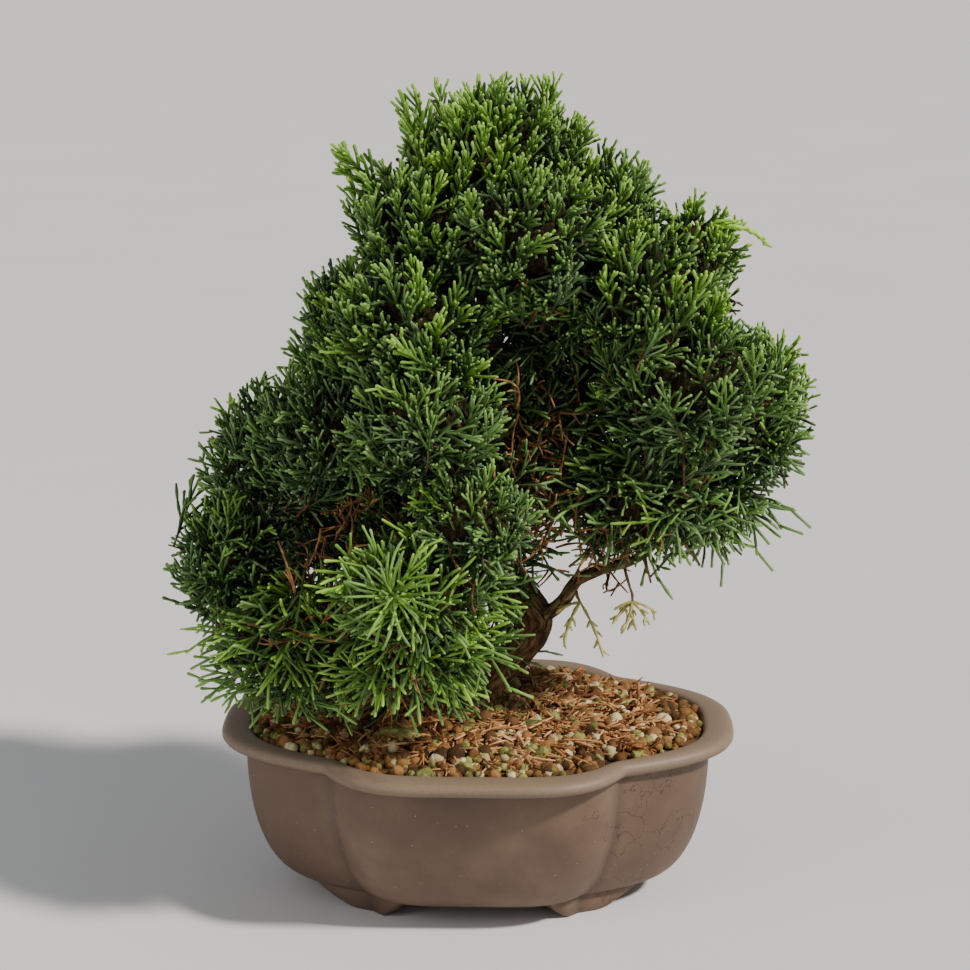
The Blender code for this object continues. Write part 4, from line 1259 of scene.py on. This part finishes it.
def node_line(node, count):
    """Points along a thin CAD piece, in order along its longest extent, from its low end."""
    points = np.array([v.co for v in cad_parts[node].data.vertices]) / MM
    axis = np.argmax(points.max(axis=0) - points.min(axis=0))
    order = points[np.argsort(points[:, axis])]
    chunks = np.array_split(order, count)
    line = np.array([chunk.mean(axis=0) for chunk in chunks])
    line[0], line[-1] = order[:4].mean(axis=0), order[-4:].mean(axis=0)
    return line


def build_dry_spray(rng, node, arms, finish):
    """A faded spray that hangs: a stem that ends in a few arms, each with short forks."""
    line = node_line(node, 7)[::-1]
    stem = line[: 1 + int(len(line) * (0.35 if len(arms) < 4 else 0.6))]
    sets = [tube(stem, np.linspace(0.75, 0.6, len(stem)))[:2]]
    tones = [np.full(len(stem) * 4, 0.1)]
    hub = stem[-1]
    for lean, reach, forks in arms:
        way = np.array([math.sin(math.radians(lean)), rng.uniform(-0.35, 0.15), -math.cos(math.radians(lean))])
        way /= np.linalg.norm(way)
        path = bent_path(rng, hub, hub + way * reach, 7, 0.14)
        sets.append(tube(path, np.array([0.55, 0.72, 0.62, 0.74, 0.64, 0.72, 0.35]))[:2])
        tones.append(np.repeat(np.linspace(0.45, 0.9, 7), 4))
        for k in range(forks):
            begin = path[2 + k * 4 // max(1, forks)]
            aside = way + np.array([(-1) ** k * rng.uniform(0.5, 0.9), rng.normal(0, 0.35), rng.uniform(-0.2, 0.2)])
            aside /= np.linalg.norm(aside)
            fork = bent_path(rng, begin, begin + aside * rng.uniform(3.0, 5.5), 4)
            sets.append(tube(fork, np.array([0.5, 0.66, 0.6, 0.32]))[:2])
            tones.append(np.full(16, rng.uniform(0.5, 1.0)))
    tone = np.concatenate(tones)
    palette = np.stack([np.clip(tone, 0.02, 0.98), np.full(len(tone), 0.8)], axis=1)
    spray = from_parts(node + "_spray", *gathered(sets), palette)
    settle(spray, finish, [node])


def build_young_shoot(rng, finish):
    line = node_line("young_shoot", 11)
    thick = np.linspace(1.15, 0.95, len(line))
    thick[1::2] *= 0.85
    thick[-1] = 0.4
    sets = [tube(line, thick)[:2]]
    ages = [np.repeat(np.linspace(0.86, 1.0, len(line)), 4)]
    for k in range(16):
        at = 0.2 + k * (len(line) - 1.8) / 16
        low = int(at)
        start = line[low] * (1 - at + low) + line[low + 1] * (at - low)
        way = line[low + 1] - line[low]
        way /= np.linalg.norm(way)
        aside = turned_aside(rng, way, rng.uniform(22, 40), k * 2.4)
        reach = 8.0 * max(0.0, 1 - k / 6) + 1.9
        sets.append(tube(bent_path(rng, start, start + aside * reach, 5), np.array([0.6, 0.8, 0.7, 0.78, 0.4]))[:2])
        ages.append(np.repeat(np.linspace(0.86, 1.0, 5), 4))
    age = np.concatenate(ages)
    palette = np.stack([np.full(len(age), 0.98), np.clip(age, 0.01, 0.93)], axis=1)
    shoot = from_parts("long_young_shoot", *gathered(sets), palette)
    settle(shoot, finish, ["young_shoot"])


def build_top_pieces(finishes):
    """The larger stones, clods and moss patches, with finer faces than their solids."""
    kinds = {"pumice": "pumice", "akadama": "akadama", "moss": "mossy"}
    for node in sorted(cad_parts):
        kind = node.split("_")[0]
        if kind not in kinds or node == "soil":
            continue
        stone = bpy.data.objects.new(node + "_face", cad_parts[node].data.copy())
        bpy.context.scene.collection.objects.link(stone)
        apply_modifier(stone, "WELD", merge_threshold=1e-5)
        apply_modifier(stone, "SUBSURF", levels=2, render_levels=2)
        for vertex in stone.data.vertices:
            point = vertex.co / MM
            bump = noise.noise(point / 2.2) * 0.35 + noise.noise(point / 0.9) * 0.14
            vertex.co += vertex.normal * bump * MM
        smooth(stone, 80)
        settle(stone, finishes[kinds[kind]], [node])


# Camera, light and floor


def set_camera():
    turn, rise = math.radians(CAMERA_TURN), math.radians(CAMERA_RISE)
    back = Vector((math.sin(turn) * math.cos(rise), -math.cos(turn) * math.cos(rise), math.sin(rise)))
    right = Vector((math.cos(turn), math.sin(turn), 0.0))
    up = back.cross(right)
    aim = POT_CENTRE + right * CAMERA_AIM[0] + Vector((0, 0, CAMERA_AIM[2]))
    lens = bpy.data.cameras.new("camera")
    lens.lens = CAMERA_LENS
    lens.sensor_width = 36.0
    camera = bpy.data.objects.new("camera", lens)
    bpy.context.scene.collection.objects.link(camera)
    matrix = Matrix((right, up, back)).transposed().to_4x4()
    matrix.translation = (aim + back * CAMERA_AWAY) * MM
    camera.matrix_world = matrix
    bpy.context.scene.camera = camera


def add_light(kind, name, where, aim, size, power, colour=(1.0, 1.0, 1.0)):
    """An area light `size` metres wide, or a sun that spans `size` degrees."""
    light = bpy.data.lights.new(name, kind)
    if kind == "SUN":
        light.angle = math.radians(size)
    else:
        light.size = size
    light.energy = power
    light.color = colour
    lamp = bpy.data.objects.new(name, light)
    lamp.location = where
    lamp.rotation_euler = (Vector(aim) - Vector(where)).to_track_quat("-Z", "Y").to_euler()
    bpy.context.scene.collection.objects.link(lamp)


def set_stage():
    bpy.ops.object.select_all(action="DESELECT")
    bpy.ops.mesh.primitive_plane_add(size=14.0)
    floor = bpy.context.object
    floor.name = "floor"
    floor.data.materials.append(make_floor_finish())
    world = bpy.data.worlds.new("studio")
    world.use_nodes = True
    world.node_tree.nodes["Background"].inputs[0].default_value = (0.93, 0.95, 1.0, 1.0)
    world.node_tree.nodes["Background"].inputs[1].default_value = 0.30
    bpy.context.scene.world = world
    add_light("SUN", "key", (0.90, -0.36, 0.92), (0, 0, 0), 6.0, 4.0, (1.0, 0.97, 0.91))
    add_light("AREA", "side", (-0.95, -0.65, 0.6), (0, 0, 0.15), 0.6, 3.0, (0.96, 0.98, 1.0))


set_camera()
grain_finishes = {
    "akadama": make_granule("akadama grain", (0.11, 0.042, 0.012), (0.42, 0.20, 0.070), (0.16, 0.13, 0.035)),
    "pumice": make_granule("pumice grain", (0.44, 0.34, 0.16), (0.92, 0.78, 0.48), (0.36, 0.38, 0.12), tint_share=0.6),
    "mossy": make_granule("mossy grain", (0.10, 0.10, 0.02), (0.36, 0.36, 0.10), (0.62, 0.58, 0.30)),
    "clod": make_granule("earth clod", (0.045, 0.020, 0.008), (0.20, 0.095, 0.035), (0.10, 0.09, 0.025)),
}
bark = make_bark()
twig_bark = make_twig_bark("twig bark", (0.030, 0.014, 0.006), (0.085, 0.036, 0.013), (0.22, 0.10, 0.034), (0.38, 0.20, 0.075))
leaves = make_shoots_finish("juniper shoots", [LEAF_TONES[0.0], LEAF_TONES[0.5], LEAF_TONES[1.0]])
LITTER_TONES = (((0.17, 0.058, 0.018),) * 4, ((0.46, 0.205, 0.075),) * 4, ((0.80, 0.47, 0.22),) * 4)
litter_finish = make_shoots_finish("dry litter", LITTER_TONES, 0.72, 0.25)
DRY_TONES = (((0.16, 0.085, 0.03),) * 4, ((0.44, 0.38, 0.11),) * 4, ((0.66, 0.60, 0.24),) * 4)
dry_finish = make_shoots_finish("faded spray", DRY_TONES, 0.65, 0.3)

SOIL_REACH = reach_by_angle(plan(RIM_WIDTH + 0.5, NOTCH_SIDE[0] + WALL * 0.8 + 0.5))
build_pot(make_stoneware())
build_soil_bed(grain_finishes["clod"])
build_grains(grain_finishes)
build_litter(litter_finish)
build_top_pieces(grain_finishes)
build_wood(bark)
build_foliage(leaves, twig_bark, make_heart_finish())
sprig_rng = np.random.default_rng(SEED + 2)
build_star(sprig_rng, leaves)
bare_finish = make_twig_bark("bare twigs", (0.10, 0.042, 0.015), (0.24, 0.105, 0.034), (0.42, 0.215, 0.075), (0.60, 0.36, 0.14))
build_bare_twigs(sprig_rng, bare_finish)
LEFT_ARMS = ((-62, 11, 3), (-20, 19, 5), (24, 24, 5))
RIGHT_ARMS = ((-66, 8, 1), (-42, 12, 2), (-18, 14, 2), (8, 13, 2), (36, 12, 2), (64, 11, 2))
build_dry_spray(sprig_rng, "faded_twig_left", LEFT_ARMS, dry_finish)
build_dry_spray(sprig_rng, "faded_twig_right", RIGHT_ARMS, dry_finish)
build_young_shoot(sprig_rng, leaves)

screen_finish = make_plain("screen plastic", (0.018, 0.018, 0.018), 0.5)
wire_finish = make_plain("copper coloured wire", (0.42, 0.22, 0.12), 0.38, 1.0, 0.03)
for node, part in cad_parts.items():
    if node.startswith("drain_screen"):
        part.data.materials[0] = screen_finish
    elif node.startswith("screen_clip") or node == "tie_wire":
        part.data.materials[0] = wire_finish

set_stage()
